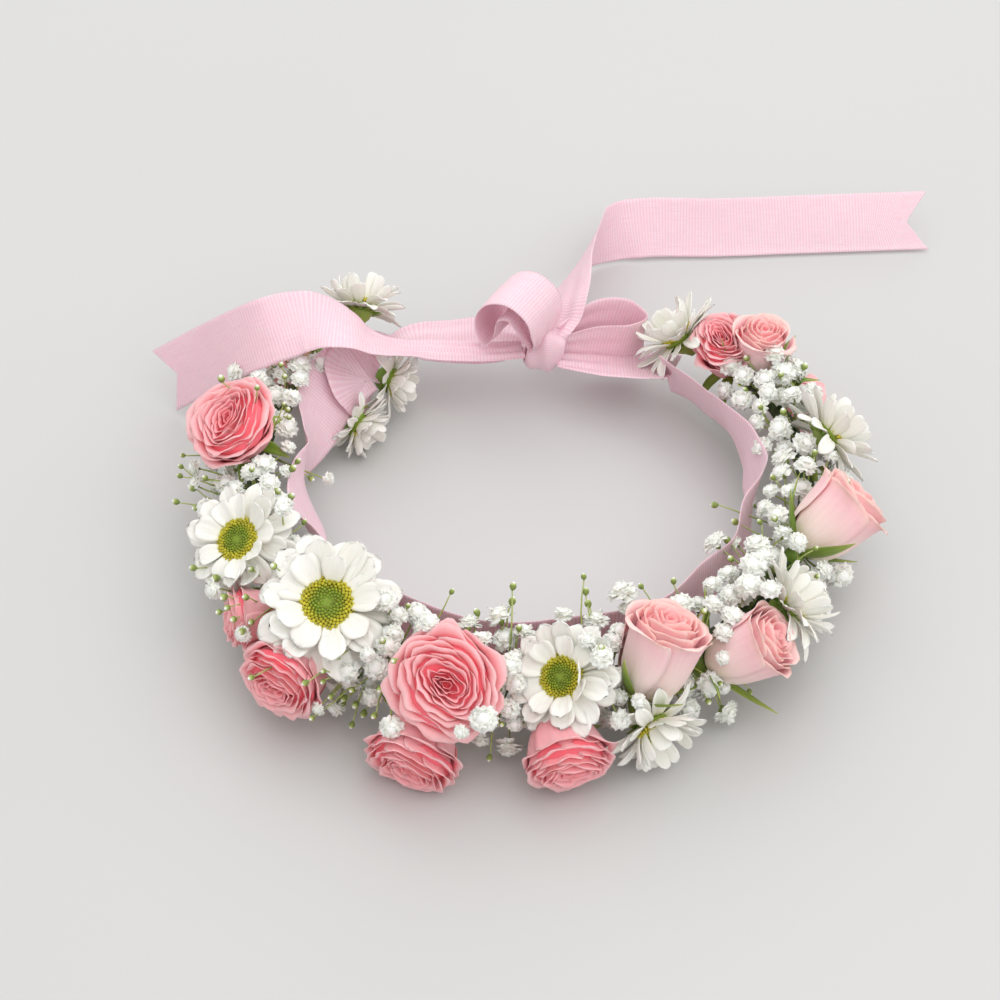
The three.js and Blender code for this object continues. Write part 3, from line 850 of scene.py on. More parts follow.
# %% [markdown]
# A spray daisy has about thirty broad ray petals in three overlapping rows. Each is a
# rounded tongue with shallow furrows, a slight cup and a curl of its own, and the inner
# ones stand up. Some daisies are only half open, and their inner rays still hide the
# heart. The heart is laid out by the sunflower rule: each floret is turned by the golden
# angle from the last.

# %% Daisies
GOLDEN_ANGLE = math.pi * (3 - math.sqrt(5))
HALF_OPEN_DAISIES = (4, 5, 6, 7, 8, 9, 10)
# petals, reach, lift from the flat, droop along the petal, height of the foot in mm
HALF_OPEN_ROWS = [(14, 1.16, 0.05, 0.4, -1.0), (13, 1.1, 0.5, 0.15, 0.2), (12, 1.0, 0.95, -0.4, 1.0)]
OPEN_ROWS = [(12, 1.06, 0.0, 0.3, -1.0), (11, 0.96, 0.28, 0.3, 0.2), (9, 0.8, 0.6, 0.5, 1.0)]
# the range of a ray's width as a share of the daisy's radius
HALF_OPEN_WIDTHS = (0.28, 0.38)
OPEN_WIDTHS = (0.36, 0.45)
FLORET_COUNT = 230


def ray_petal(rng, length, width, lift, droop, cup, rows=14, columns=9):
    """One ray petal in millimetres: +X outwards, +Z up."""
    t = np.linspace(0, 1, rows)
    angle = lift - droop * t ** 1.5
    x, z = bent_profile(length, angle)
    half = 0.5 * width * (0.35 + 0.65 * np.sin(np.pi * np.clip(t / 1.3, 0, 0.5)))
    half *= np.sqrt(np.clip(1 - np.clip((t - 0.66) / 0.345, 0, 1) ** 2.2, 0.03, 1))
    s = np.linspace(-1, 1, columns)
    y = half[:, None] * s[None, :]
    furrow = 0.045 * width * np.cos(3 * np.pi * s)[None, :] * np.sin(np.pi * t)[:, None]
    bowl = cup * half[:, None] * (s ** 2)[None, :]
    twist = rng.normal(0, 0.18) * t[:, None] * y
    notch = 0.035 * length * np.cos(3 * np.pi * s)[None, :] * np.clip((t[:, None] - 0.8) / 0.2, 0, 1)
    x = np.repeat(x[:, None], columns, 1) + notch * np.cos(angle)[:, None]
    return np.stack([x, y, z[:, None] + furrow + bowl + twist], axis=2)


def add_heart(heap, rng, centre, turn, heart):
    """The dome of a daisy's heart and the florets that cover it."""
    rise = np.array([-1.0, 0.0, 1.0, 1.9, 2.6, 2.9])
    line = centre + np.outer(rise * MM, turn[:, 2])
    marks = [(0.3, 0.5, 0.2, 0)] * 6
    heap.tube(line, np.array([0.5, 1.0, 0.95, 0.78, 0.45, 0.1]) * heart * MM, 16, marks, 1)
    for k in range(FLORET_COUNT):
        out = math.sqrt((k + 0.5) / FLORET_COUNT)
        angle = k * GOLDEN_ANGLE
        swell = 2.6 * math.sqrt(max(0.0, 1 - (0.96 * out) ** 2))
        dome = 0.3 + swell - 0.7 * math.exp(-(out / 0.3) ** 2)
        lean = np.array([0.6 * out * math.cos(angle), 0.6 * out * math.sin(angle), 1.0])
        base = np.array([heart * out * math.cos(angle), heart * out * math.sin(angle), dome])
        tall = 0.7 if out < 0.62 else rng.uniform(0.9, 1.3)
        line = [base, base + lean * tall * 0.7, base + lean * tall]
        place = centre + (np.array(line) * MM) @ turn.T
        width = 0.075 * heart * (0.85 if out < 0.62 else 1.0)
        marks = [(out, 0.5, rng.random() * 0.3, 0)] * 3
        heap.tube(place, np.array([0.8, 1.0, 0.35]) * width * MM, 5, marks, 1)


def make_daisy(number, body):
    """The rays, the heart, the green cup and the stem of one daisy."""
    name = "daisy_%02d" % number
    rng = np.random.default_rng(500 + number)
    foot, axis, _, high, radius = bloom_place(name, name)
    radius = radius / MM
    turn = bloom_turn(axis, rng.uniform(0, 2 * np.pi))
    rim = high - 4.5 * MM
    centre = foot + axis * rim
    heap = Heap()
    heart = 0.38 * radius
    half_open = number in HALF_OPEN_DAISIES
    rows, widths = (HALF_OPEN_ROWS, HALF_OPEN_WIDTHS) if half_open else (OPEN_ROWS, OPEN_WIDTHS)
    for layer, (count, reach, lift, droop, rise) in enumerate(rows):
        for k in range(count):
            length = (radius * reach - heart * 0.75) * rng.uniform(0.9, 1.06)
            petal = ray_petal(rng, length, radius * rng.uniform(*widths), lift + rng.normal(0, 0.15),
                              droop + rng.normal(0, 0.35), rng.uniform(0.1, 0.5))
            petal = petal + np.array([heart * 0.75, 0, rise])
            petal = spin_z(petal, 2 * np.pi * (k + 0.5 * layer) / count + rng.normal(0, 0.1))
            place = keep_above_table(centre + (petal * MM) @ turn.T)
            heap.skin(place, RAY_THICKNESS, marks_of(*petal.shape[:2], rng.random(), 0))
    add_heart(heap, rng, centre, turn, heart)
    cup_heights = np.array([-rim / MM + 1.0, -7.5, -6, -4.5, -2.5, -0.6, 0.4])
    cup_widths = np.array([1.2, 1.3, 2.6, 4.2, 5.2, 5.4, 4.0])
    line = centre + np.outer(cup_heights * MM, axis)
    line[0] = bloom_root(name)
    heap.tube(line, cup_widths * MM, 14, line_marks(7, rng.random(), 0.0, 0.6), 2)
    for k in range(16):
        leaf = leaf_grid(5.5, 2.2, 0.2, 0.25, rows=6, columns=3) + np.array([3.6, 0, -2.6])
        leaf = spin_z(leaf, 2 * np.pi * k / 16)
        place = centre + (leaf * MM) @ turn.T
        heap.skin(place, BRACT_THICKNESS, marks_of(*leaf.shape[:2], rng.random(), 0), 2)
    return settle(heap.object("daisy_%02d_flower" % number, [DAISY_WHITE, FLORET, SEPAL]), name, body)


DAISY_COUNT = sum(name.startswith("daisy") for name in SLOT_OF)
daisies = [make_daisy(i + 1, "crown") for i in range(DAISY_COUNT)]
print(len(daisies), "daisies with", sum(len(d.data.polygons) for d in daisies), "faces")

# %% [markdown]
# Baby's breath is a cloud: wiry stems that fork again and again, each ending in a
# double flower like a tiny carnation or in a green bud. A blossom is built once in a few
# shapes and set many times.

# %% One blossom
# petals, length in mm and lift from the flat in radians, from the outer row inwards
BLOSSOM_ROWS = [(9, 4.5, 0.05), (9, 4.3, 0.45), (8, 3.9, 0.8), (7, 3.3, 1.1), (5, 2.6, 1.4)]
BLOSSOM_WIDTH = 9.2


def blossom_parts(rng):
    """The petals of one double blossom facing +Z, as (grid, depth)."""
    parts = []
    for count, reach, lift in BLOSSOM_ROWS:
        for k in range(count):
            length = reach * rng.uniform(0.86, 1.08)
            t = np.linspace(0, 1, 4)
            angle = lift + rng.normal(0, 0.13) - rng.uniform(0.2, 0.7) * t
            x = 0.2 + np.cumsum(np.cos(angle)) * length / 4
            z = 0.3 + np.cumsum(np.sin(angle)) * length / 4
            half = length * np.array([0.12, 0.26, 0.38, 0.3])
            side = np.array([-1.0, 0.0, 1.0])
            grid = np.stack([
                np.repeat(x[:, None], 3, 1),
                half[:, None] * side[None, :],
                z[:, None] + 0.35 * np.abs(side)[None, :] * rng.uniform(-1, 1)], axis=2)
            grid[-1, 1, 0] -= 0.13 * length
            grid = spin_z(grid, 2 * np.pi * k / count + rng.normal(0, 0.2))
            # painted shade: the inner, upright rows get a higher depth mark, so more of the pale green
            # deep colour in the hollow of the blossom
            parts.append((grid, lift / 1.4))
    return parts


BLOSSOMS = [blossom_parts(np.random.default_rng(700 + k)) for k in range(6)]
print("a blossom has", len(BLOSSOMS[0]), "petals")

# %% [markdown]
# Each spray lists its blossoms and buds by where they stand: the angle round the crown,
# the angle round the hoop's own section with 0 facing out and 90 facing up, how far the
# tip reaches from the wire in millimetres and, for a blossom, its width.

# %% Where the blossoms and buds stand
BLOSSOM_PLACES = {
    1: [(153, 104, 18, 9), (156, 32, 20, 9), (157, 115, 18, 7), (158, 31, 23, 7), (160, 67, 18, 7)],
    2: [(163, 120, 18, 7), (177, -170, 27, 5)],
    3: [(-180, 11, 23, 7), (-177, 8, 22, 6), (-173, 104, 18, 9), (-173, 133, 18, 5), (-171, 88, 18, 7),
        (-167, 108, 18, 8), (178, 136, 18, 6)],
    4: [(-151, 96, 30, 6), (-149, 18, 29, 7), (-139, 14, 30, 6)],
    5: [(-124, -34, 24, 7), (-123, -3, 31, 5), (-121, 25, 21, 8), (-120, 94, 25, 8), (-118, 47, 23, 5),
        (-118, 104, 18, 7), (-117, -5, 18, 7), (-117, 36, 18, 9), (-116, 62, 18, 8), (-116, 77, 18, 7),
        (-110, 13, 35, 8), (-108, 76, 35, 7)],
    6: [(-100, 23, 39, 5), (-99, -39, 20, 7), (-98, 137, 23, 10), (-97, 31, 39, 9), (-94, -40, 22, 9),
        (-94, 21, 18, 7), (-94, 62, 26, 8), (-93, 1, 18, 6), (-93, 48, 18, 7)],
    7: [(-83, 137, 23, 7), (-81, 75, 30, 6), (-79, 63, 31, 8), (-77, 15, 26, 7), (-76, 24, 18, 6),
        (-76, 138, 20, 9), (-75, 89, 18, 7), (-74, 28, 26, 5), (-73, 101, 18, 7)],
    8: [(-68, 139, 21, 6), (-68, 139, 27, 10), (-58, 36, 22, 5), (-57, -33, 25, 9), (-57, -13, 18, 5),
        (-56, 56, 22, 7), (-53, 64, 23, 8), (-53, 89, 18, 7)],
    9: [(-49, 89, 18, 8), (-49, 117, 18, 7), (-47, 78, 24, 9), (-46, 64, 29, 7), (-43, 88, 25, 9),
        (-35, 155, 26, 9), (-33, 116, 18, 10), (-32, 20, 18, 7), (-31, -18, 20, 6), (-30, 160, 20, 6),
        (-29, 31, 18, 7), (-29, 76, 18, 7), (-28, 96, 18, 7)],
    10: [(-23, 115, 18, 8), (-19, 140, 18, 7), (-15, 111, 18, 6), (-13, 137, 18, 6), (-10, 179, 20, 6),
        (-7, 95, 18, 8), (-3, 67, 18, 6), (-3, 125, 18, 9)],
    11: [(5, 152, 18, 8), (6, 123, 18, 9), (13, 148, 18, 7), (15, 93, 18, 8), (16, 134, 18, 7)],
    12: [(18, 117, 18, 7), (22, 85, 18, 9), (22, 112, 18, 8), (22, 148, 18, 8), (26, 87, 22, 8),
        (27, 128, 18, 8), (29, 160, 18, 7), (32, 129, 18, 9)],
}
BUD_PLACES = {
    1: [(148, 39, 28), (151, 36, 21), (153, 87, 20), (157, 90, 20), (160, 101, 20)],
    2: [(169, 120, 20), (171, 124, 20), (174, 112, 29), (175, 75, 40), (176, 94, 37), (178, -170, 20),
        (178, 14, 27)],
    3: [(-178, 10, 27), (-177, 144, 20), (-176, 6, 22), (-174, 33, 20), (-173, 5, 28), (-173, 136, 20),
        (-172, 2, 21), (-170, 90, 20), (-163, 111, 20), (-162, 125, 20), (180, 11, 27)],
    4: [(-154, 20, 31), (-153, 125, 20), (-150, 25, 27), (-146, 50, 23), (-145, 26, 30), (-144, 18, 32),
        (-143, 24, 31), (-142, 35, 27), (-141, 21, 31), (-139, 17, 30), (-139, 23, 27), (-139, 65, 33)],
    5: [(-131, 14, 42), (-124, 20, 35), (-123, -34, 21), (-123, -5, 34), (-123, 17, 28), (-123, 26, 29),
        (-122, -18, 20), (-122, 3, 26), (-122, 37, 26), (-120, -35, 26), (-120, -22, 20), (-120, 4, 20),
        (-119, -36, 21), (-117, 63, 20), (-117, 114, 20), (-115, 18, 20), (-114, 7, 28), (-111, 50, 39),
        (-110, 139, 27)],
    6: [(-103, 138, 22), (-97, -39, 25), (-95, 6, 20), (-95, 136, 32), (-95, 137, 27), (-93, 113, 20)],
    7: [(-79, 67, 31), (-77, 137, 34), (-77, 138, 25), (-77, 138, 29)],
    8: [(-63, 140, 26), (-61, -10, 20), (-59, 9, 20), (-59, 74, 28), (-58, -34, 23), (-54, 144, 23),
        (-52, -31, 22)],
    9: [(-47, 74, 20), (-41, 122, 20), (-35, 20, 20), (-33, 40, 20), (-31, 158, 22), (-29, 58, 20),
        (-27, 125, 20)],
    10: [(-26, 110, 20), (-22, 166, 23), (-17, 65, 32), (-17, 171, 32), (-11, 130, 20), (-5, 87, 20)],
    11: [(9, 111, 20), (14, 131, 20)],
    12: [(20, 95, 20), (22, 60, 20), (22, 135, 20), (26, 65, 22), (29, 113, 20)],
}
print(sum(len(v) for v in BLOSSOM_PLACES.values()), "blossoms and",
      sum(len(v) for v in BUD_PLACES.values()), "buds are listed")

# %% [markdown]
# More blossoms fill the sides of the crown that those lists leave bare. They are tried
# at random with a fixed seed and kept only where they are clear of the blooms.

# %% Fill the bare sides
FILL_SEED = 860
FILL_TRIES = 400
FILL_COUNT = 13
# in mm: gap to a bloom, gap to another blossom, and the least height of a tip
BLOOM_GAP, BLOSSOM_GAP, LOWEST_TIP = 3, 7.5, 7


def keep_out_balls():
    """Balls that stand for the blooms, which the filling blossoms stay clear of."""
    balls = []
    for i in range(ROSE_COUNT):
        low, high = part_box("rose_%02d_petals" % (i + 1))
        balls.append((np.array((low + high) / 2), 0.5 * max(high - low)))
    for i in range(DAISY_COUNT):
        name = "daisy_%02d" % (i + 1)
        foot, axis, _, high, radius = bloom_place(name, name)
        balls.append((foot + axis * high, 0.8 * radius))
    return balls


def section_point(degrees, side, reach):
    """A point that stands off the wire at an angle round the crown and round its section."""
    a, b = math.radians(degrees), math.radians(side)
    out = np.array([math.cos(a), math.sin(a), 0])
    return hoop_point(a) + reach * MM * (math.cos(b) * out + math.sin(b) * np.array([0, 0, 1.0]))


def hoop_point(angle):
    """The point of the hoop at an angle in radians."""
    return np.array([HOOP_RADIUS * math.cos(angle), HOOP_RADIUS * math.sin(angle), HOOP_HEIGHT])


def fill_places(rng, middle, count, taken):
    """Places for more blossoms beside a spray, clear of blooms and other blossoms."""
    places = []
    for _ in range(FILL_TRIES):
        if len(places) == count:
            break
        place = (middle + rng.uniform(-11, 11), rng.uniform(-40, 130),
                 rng.uniform(11, 19), rng.uniform(7, 9.5))
        tip = section_point(*place[:3])
        near_bloom = any(np.linalg.norm(tip - c) < r + BLOOM_GAP * MM for c, r in KEEP_OUT)
        near_other = any(np.linalg.norm(tip - other) < BLOSSOM_GAP * MM for other in taken)
        if tip[2] > LOWEST_TIP * MM and not near_bloom and not near_other:
            places.append(place)
            taken.append(tip)
    return places


KEEP_OUT = keep_out_balls()
SPRAY_COUNT = len(BLOSSOM_PLACES)
SPRAY_ANGLES = []
for spray in range(SPRAY_COUNT):
    middle = node_points("baby_breath_%02d" % (spray + 1)).mean(axis=0)
    SPRAY_ANGLES.append(math.degrees(math.atan2(middle[1], middle[0])))
TAKEN = [section_point(*place[:3]) for places in BLOSSOM_PLACES.values() for place in places]
rng = np.random.default_rng(FILL_SEED)
FILL_PLACES = {}
for spray, middle in enumerate(SPRAY_ANGLES):
    FILL_PLACES[spray + 1] = fill_places(rng, middle, FILL_COUNT, TAKEN)
print(sum(len(v) for v in FILL_PLACES.values()), "more blossoms fill the bare sides")

# %% Sprays of baby's breath
def bent_line(start, end, bow, count=7):
    """A line of points from start to end, bowed to one side."""
    t = np.linspace(0, 1, count)[:, None]
    return start + (end - start) * t + bow * (4 * t * (1 - t))


def add_blossom(heap, rng, root, tip, width):
    """A double flower at its tip, with its green cup and its stem."""
    outwards = (tip - root) / np.linalg.norm(tip - root)
    face = outwards + np.array([0, -0.15, 0.35]) + rng.normal(0, 0.22, 3)
    turn = bloom_turn(face / np.linalg.norm(face), rng.uniform(0, 2 * np.pi))
    scale = width / BLOSSOM_WIDTH * MM
    for grid, depth in BLOSSOMS[rng.integers(len(BLOSSOMS))]:
        place = keep_above_table(tip + ((grid - np.array([0, 0, 1.5])) * scale) @ turn.T)
        heap.skin(place, BLOSSOM_THICKNESS, marks_of(*grid.shape[:2], rng.random(), depth))
    middle = tip + np.outer(np.array([-2.2, -1.4, -0.2, 1.0, 1.5]) * scale, turn[:, 2])
    heap.tube(middle, np.array([0.8, 2.4, 2.7, 1.9, 0.5]) * scale, 9, line_marks(5, 0.6), 0)
    base = tip - turn[:, 2] * 4.0 * scale
    cup = [base, base + turn[:, 2] * 1.2 * scale, base + turn[:, 2] * 3.2 * scale]
    heap.tube(cup, np.array([0.35, 1.05, 1.3]) * scale, 7, line_marks(3, 0.2), 1)
    line = bent_line(root, base, rng.normal(0, 1.5, 3) * MM)
    heap.tube(line, np.linspace(0.45, 0.3, 7) * MM, 5, line_marks(7, 0.2), 1)


def add_bud(heap, rng, root, tip):
    """A green bud just showing white, and its stem."""
    face = (tip - root) / np.linalg.norm(tip - root) + rng.normal(0, 0.2, 3)
    face /= np.linalg.norm(face)
    size = rng.uniform(0.6, 0.95) * MM
    line = tip + np.outer(np.array([-1.8, -1.3, -0.5, 0.5, 1.2]) * size, face)
    heap.tube(line, np.array([0.3, 0.9, 1.4, 1.35, 0.95]) * size, 8, line_marks(5, 0.1), 1)
    white = tip + np.outer(np.array([0.6, 1.2, 1.6, 1.8]) * size, face)
    heap.tube(white, np.array([1.0, 0.8, 0.5, 0.2]) * size, 7, line_marks(4, 0.1), 0)
    stem = bent_line(root, line[0], rng.normal(0, 1.8, 3) * MM)
    heap.tube(stem, np.linspace(0.38, 0.24, 7) * MM, 5, line_marks(7, 0.2), 1)


def make_spray(number, body):
    """One spray: stems, double flowers and buds."""
    name = "baby_breath_%02d" % number
    rng = np.random.default_rng(900 + number)
    middle = SPRAY_ANGLES[number - 1]
    heap = Heap()

    def root_for(degrees):
        """Where a stem leaves the hoop: part of the way from the spray's own root."""
        off = (degrees - middle + 180) % 360 - 180
        return hoop_point(math.radians(middle + 0.6 * off)) + rng.normal(0, 1.2, 3) * MM

    for degrees, side, reach, width in BLOSSOM_PLACES[number] + FILL_PLACES[number]:
        add_blossom(heap, rng, root_for(degrees), section_point(degrees, side, reach), width * 1.08)
    for degrees, side, reach in BUD_PLACES[number]:
        add_bud(heap, rng, root_for(degrees), section_point(degrees, side, reach))
    return settle(heap.object("baby_breath_%02d_spray" % number, [SNOW, STEM]), name, body)


sprays = [make_spray(i + 1, "crown") for i in range(SPRAY_COUNT)]
print(len(sprays), "sprays with", sum(len(s.data.polygons) for s in sprays), "faces")

# %% [markdown]
# The hoop is a plain wire with an eyelet at each end for the ribbon. The tape is wound
# round it on a slant, so its surface is a long shallow spiral step, with small smooth
# lumps along it.

# %% Hoop and tape
TAPE_END = math.radians(43)
WIRE_END = math.radians(47)
WIRE_RADIUS = 1.1
EYELET_RADIUS = 5
TAPE_RADIUS = 2.75
# how far one turn of the tape carries it along the hoop, in mm
TAPE_ADVANCE = 9.0


def hoop_line(end, count):
    """Points along the hoop from the right end round the front to the left end."""
    angles = end - np.linspace(0, 1, count) * (math.pi + 2 * end)
    return np.stack([hoop_point(a) for a in angles])


def make_wire(body):
    """The wire hoop with its two eyelets."""
    heap = Heap()
    heap.tube(hoop_line(WIRE_END, 120), WIRE_RADIUS * MM, 10, plain_marks(120))
    for angle in (WIRE_END, math.pi - WIRE_END):
        past = math.copysign(0.05, math.pi / 2 - angle)
        middle = hoop_point(angle + past)
        around = np.array([-math.sin(angle), math.cos(angle), 0])
        out = np.array([math.cos(angle), math.sin(angle), 0])
        turn = np.linspace(0, 2 * np.pi, 33)
        circle = np.outer(np.cos(turn), around) + np.outer(np.sin(turn), out)
        heap.tube(middle + EYELET_RADIUS * MM * circle, WIRE_RADIUS * MM, 8, plain_marks(33))
    return settle(heap.object("wire_hoop", [WIRE]), "base_wire", body)


def make_tape(body):
    """The tape as a spirally stepped sleeve round the wire, open at both ends."""
    count, sides = 700, 20
    angles = TAPE_END - np.linspace(0, 1, count) * (math.pi + 2 * TAPE_END)
    turn = np.linspace(0, 2 * np.pi, sides)
    length = HOOP_RADIUS * (math.pi + 2 * TAPE_END) / MM
    along = np.linspace(0, length, count)
    slant = (along[:, None] / TAPE_ADVANCE + turn[None, :] / (2 * np.pi)) % 1.0
    lumps = 0.35 * np.sin(along / 7.3) * np.sin(along / 3.1 + 1.0)
    radius = TAPE_RADIUS + 0.35 * slant + lumps[:, None] * 0.5
    out = np.stack([np.cos(angles), np.sin(angles), np.zeros(count)], axis=1)
    c, s = np.cos(turn)[None, :, None], np.sin(turn)[None, :, None]
    round_wire = c * out[:, None] + s * np.array([0, 0, 1.0])
    grid = hoop_line(TAPE_END, count)[:, None] + MM * radius[..., None] * round_wire
    heap = Heap()
    heap.skin(grid, TAPE_THICKNESS, marks_of(count, sides, 0.5, 0))
    return settle(heap.object("wound_tape", [TAPE]), "floral_tape", body)


wire = make_wire("crown")
tape = make_tape("crown")
print("hoop:", len(wire.data.polygons), "faces, tape:", len(tape.data.polygons), "faces")

# %% [markdown]
# The ribbon is one width of grosgrain all the way. Each stretch follows a list of
# stations: the middle of the ribbon, the direction of its upper edge, and how far it is
# gathered. Where it is gathered into the knot it takes up pleats, so the cloth keeps its
# width. The ribs stand across it at a fixed pitch.

# %% Ribbon stations, in millimetres
# the middle, the upper-edge direction, and the share of the width that is left
RIBBON_WIDTH = 25.0
RIB_PITCH = 1.25
TIE_LEFT = [
    (-60.9, 76.8, 19.0, 0.04, 1.00, 0.02, 0.70),
    (-52.2, 76.5, 19.0, 0.08, 0.99, -0.06, 0.60),
    (-42.4, 79.5, 19.0, 0.04, 1.00, 0.09, 0.80),
    (-30.4, 78.9, 19.5, 0.00, 0.99, 0.12, 0.90),
    (-18.4, 78.9, 20.0, -0.03, 0.99, 0.16, 0.95),
    (-6.4, 78.0, 20.0, 0.00, 0.99, 0.12, 0.80),
    (2.5, 73.8, 20.0, 0.00, 1.00, -0.00, 0.40),
]
TIE_RIGHT = [
    (10.8, 67.0, 21.0, 0.00, 1.00, 0.05, 0.40),
    (18.7, 67.3, 20.0, -0.02, 0.99, -0.11, 0.65),
    (26.8, 67.3, 19.0, -0.05, 0.98, -0.19, 0.85),
    (34.5, 67.0, 18.5, -0.05, 0.96, -0.27, 1.00),
    (42.0, 66.7, 18.0, -0.06, 0.96, -0.28, 1.00),
    (49.4, 65.5, 18.5, -0.08, 0.95, -0.32, 1.00),
    (56.0, 63.8, 19.5, -0.06, 0.93, -0.35, 1.00),
]
TAIL_LEFT = [
    (-2.2, 67.9, 25.0, 0.08, 1.00, -0.01, 0.40),
    (-14.0, 65.5, 26.0, 0.00, 1.00, 0.04, 0.42),
    (-25.6, 64.4, 27.0, 0.03, 1.00, -0.02, 0.45),
    (-37.2, 62.3, 29.5, 0.07, 1.00, -0.07, 0.45),
    (-45.0, 60.2, 32.0, 0.13, 0.95, -0.27, 0.45),
    (-52.3, 57.2, 36.0, 0.15, 0.91, -0.39, 0.60),
    (-59.1, 54.7, 41.0, 0.15, 0.92, -0.37, 0.80),
    (-65.2, 54.0, 46.0, 0.13, 0.97, -0.20, 0.95),
    (-71.8, 53.8, 49.0, 0.18, 0.98, -0.00, 1.00),
    (-79.3, 53.8, 50.5, 0.16, 0.95, 0.28, 1.00),
    (-85.6, 52.6, 51.0, 0.06, 0.89, 0.46, 1.00),
    (-97.7, 49.2, 49.0, -0.09, 0.69, 0.72, 1.01),
    (-109.6, 51.6, 41.0, -0.20, 0.68, 0.70, 1.02),
    (-124.4, 59.4, 26.0, -0.33, 0.66, 0.68, 1.01),
    (-140.5, 66.0, 10.5, -0.37, 0.64, 0.67, 1.02),
]
TAIL_RIGHT = [
    (7, 70.5, 28, 0.9, 0, 0.3, 0.42),
    (11, 76, 30, 0.9, 0, 0.4, 0.65),
    (14, 88, 33, 0.8, -0.1, 0.6, 0.92),
    (18, 112, 28, 0.6, 0.1, 0.8, 1),
    (26, 144, 16, 0.45, 0.45, 0.77, 1),
    (37, 158, 11.8, 0.3, 0.62, 0.72, 1),
    (52, 163, 10.6, 0.05, 0.7, 0.71, 1),
    (81, 164, 9.6, 0, 0.7, 0.71, 1),
    (114, 166, 9.6, 0, 0.7, 0.71, 1),
    (168, 169, 9.6, 0, 0.7, 0.71, 1),
]
# the front loop keeps one upper-edge direction all the way round
LOOP_FRONT_EDGE = (0.48, 0.87, -0.06)
LOOP_FRONT = [(x, y, z, *LOOP_FRONT_EDGE, share) for x, y, z, share in [
    (2.5, 67.1, 29.0, 0.42), (0.0, 68.9, 35.5, 0.60), (-2.9, 71.0, 42.5, 0.80),
    (-6.8, 73.1, 41.5, 0.90), (-8.3, 73.4, 33.5, 0.95), (-11.5, 74.9, 29.0, 1.00),
    (-14.4, 76.9, 35.5, 1.00), (-13.7, 77.0, 42.9, 1.00), (-9.3, 75.0, 49.0, 1.00),
    (-2.2, 71.2, 51.1, 1.00), (4.5, 67.2, 47.0, 1.00), (6.7, 65.5, 39.5, 0.98),
    (5.2, 65.8, 32.0, 0.65), (2.3, 67.1, 27.0, 0.42)]]
LOOP_BACK = [
    (10, 69, 25, 0, -0.1, 1, 0.4),
    (25, 72, 23, 0, -0.1, 1, 0.85),
    (38, 73.5, 21, 0, -0.1, 1, 1),
    (45, 79, 20, 0, 0, 1, 1),
    (37, 85, 22, 0, 0.1, 1, 1),
    (25, 83, 25, 0, 0.1, 1, 0.85),
    (11, 73, 27, 0, 0.1, 1, 0.4),
]
LEFT_FOLD = [
    (-60.0, 64.0, 28.0, 0.80, 0.20, -0.50, 0.55),
    (-62.5, 60.5, 29.5, 0.75, 0.32, -0.59, 0.72),
    (-66.2, 53.6, 28.0, 0.81, 0.39, -0.44, 0.95),
    (-66.0, 47.9, 26.0, 0.74, 0.49, -0.45, 0.95),
    (-64.2, 45.0, 21.0, 0.62, 0.58, -0.53, 0.75),
    (-62.4, 43.8, 15.0, 0.47, 0.66, -0.59, 0.45),
    (-61.0, 42.6, 10.0, 0.20, 0.77, -0.60, 0.18),
]
# angle in degrees, radius, height of the middle, lean of the upper edge in degrees
LINING = [
    (49, 79, 20, -20), (43, 79, 20, -24), (36, 79, 20, -22), (28, 80, 20, -22), (20, 80, 21, -14),
    (13, 81, 21, -2), (7, 81, 21, 8), (0, 82, 20, 14), (-8, 81, 21, 6), (-17, 80, 21, -9),
    (-30, 80, 20, 5), (-42, 79, 20, 0), (-60, 81, 21, 12), (-80, 80, 20, 0), (-100, 81, 21, 10),
    (-120, 82, 21, 0), (-140, 80, 20, 14), (-155, 82, 20, 10), (-165, 82, 21, 30), (-176, 82, 21, 17),
    (-185, 83, 21, -12), (-192, 83, 22, 6), (-200, 84, 23, 30), (-207, 85.5, 25, 42), (-214, 86, 27, 46),
    (-221, 85, 28.5, 42),
]


def lining_stations():
    """The lining's stations as points and upper-edge directions."""
    stations = []
    for degrees, radius, height, lean in LINING:
        a, tilt = math.radians(degrees), math.radians(lean)
        c, s = math.cos(a), math.sin(a)
        stations.append((radius * c, radius * s, height,
                         math.sin(tilt) * c, math.sin(tilt) * s, math.cos(tilt), 1))
    return stations


print("lining has", len(lining_stations()), "stations")

# %% Ribbon geometry
def smooth_through(rows, t):
    """A Catmull-Rom curve through the rows, at the parameters t from 0 to 1."""
    rows = np.asarray(rows, float)
    padded = np.vstack([2 * rows[0] - rows[1], rows, 2 * rows[-1] - rows[-2]])
    at = np.clip(t, 0, 1) * (len(rows) - 1)
    k = np.minimum(at.astype(int), len(rows) - 2)
    f = (at - k)[:, None]
    a, b, c, d = (padded[k + i] for i in range(4))
    second, third = 2 * a - 5 * b + 4 * c - d, 3 * b - 3 * c + d - a
    return 0.5 * (2 * b + (c - a) * f + second * f ** 2 + third * f ** 3)


def even_steps(stations, per_rib):
    """Parameters that step evenly along the route, a few for each rib."""
    fine = np.linspace(0, 1, 2000)
    line = smooth_through(stations, fine)[:, :3]
    travelled = np.concatenate([[0], np.cumsum(np.linalg.norm(np.diff(line, axis=0), axis=1))])
    count = int(travelled[-1] / RIB_PITCH * per_rib) + 1
    at = np.linspace(0, travelled[-1], count)
    return np.interp(at, travelled, fine), at


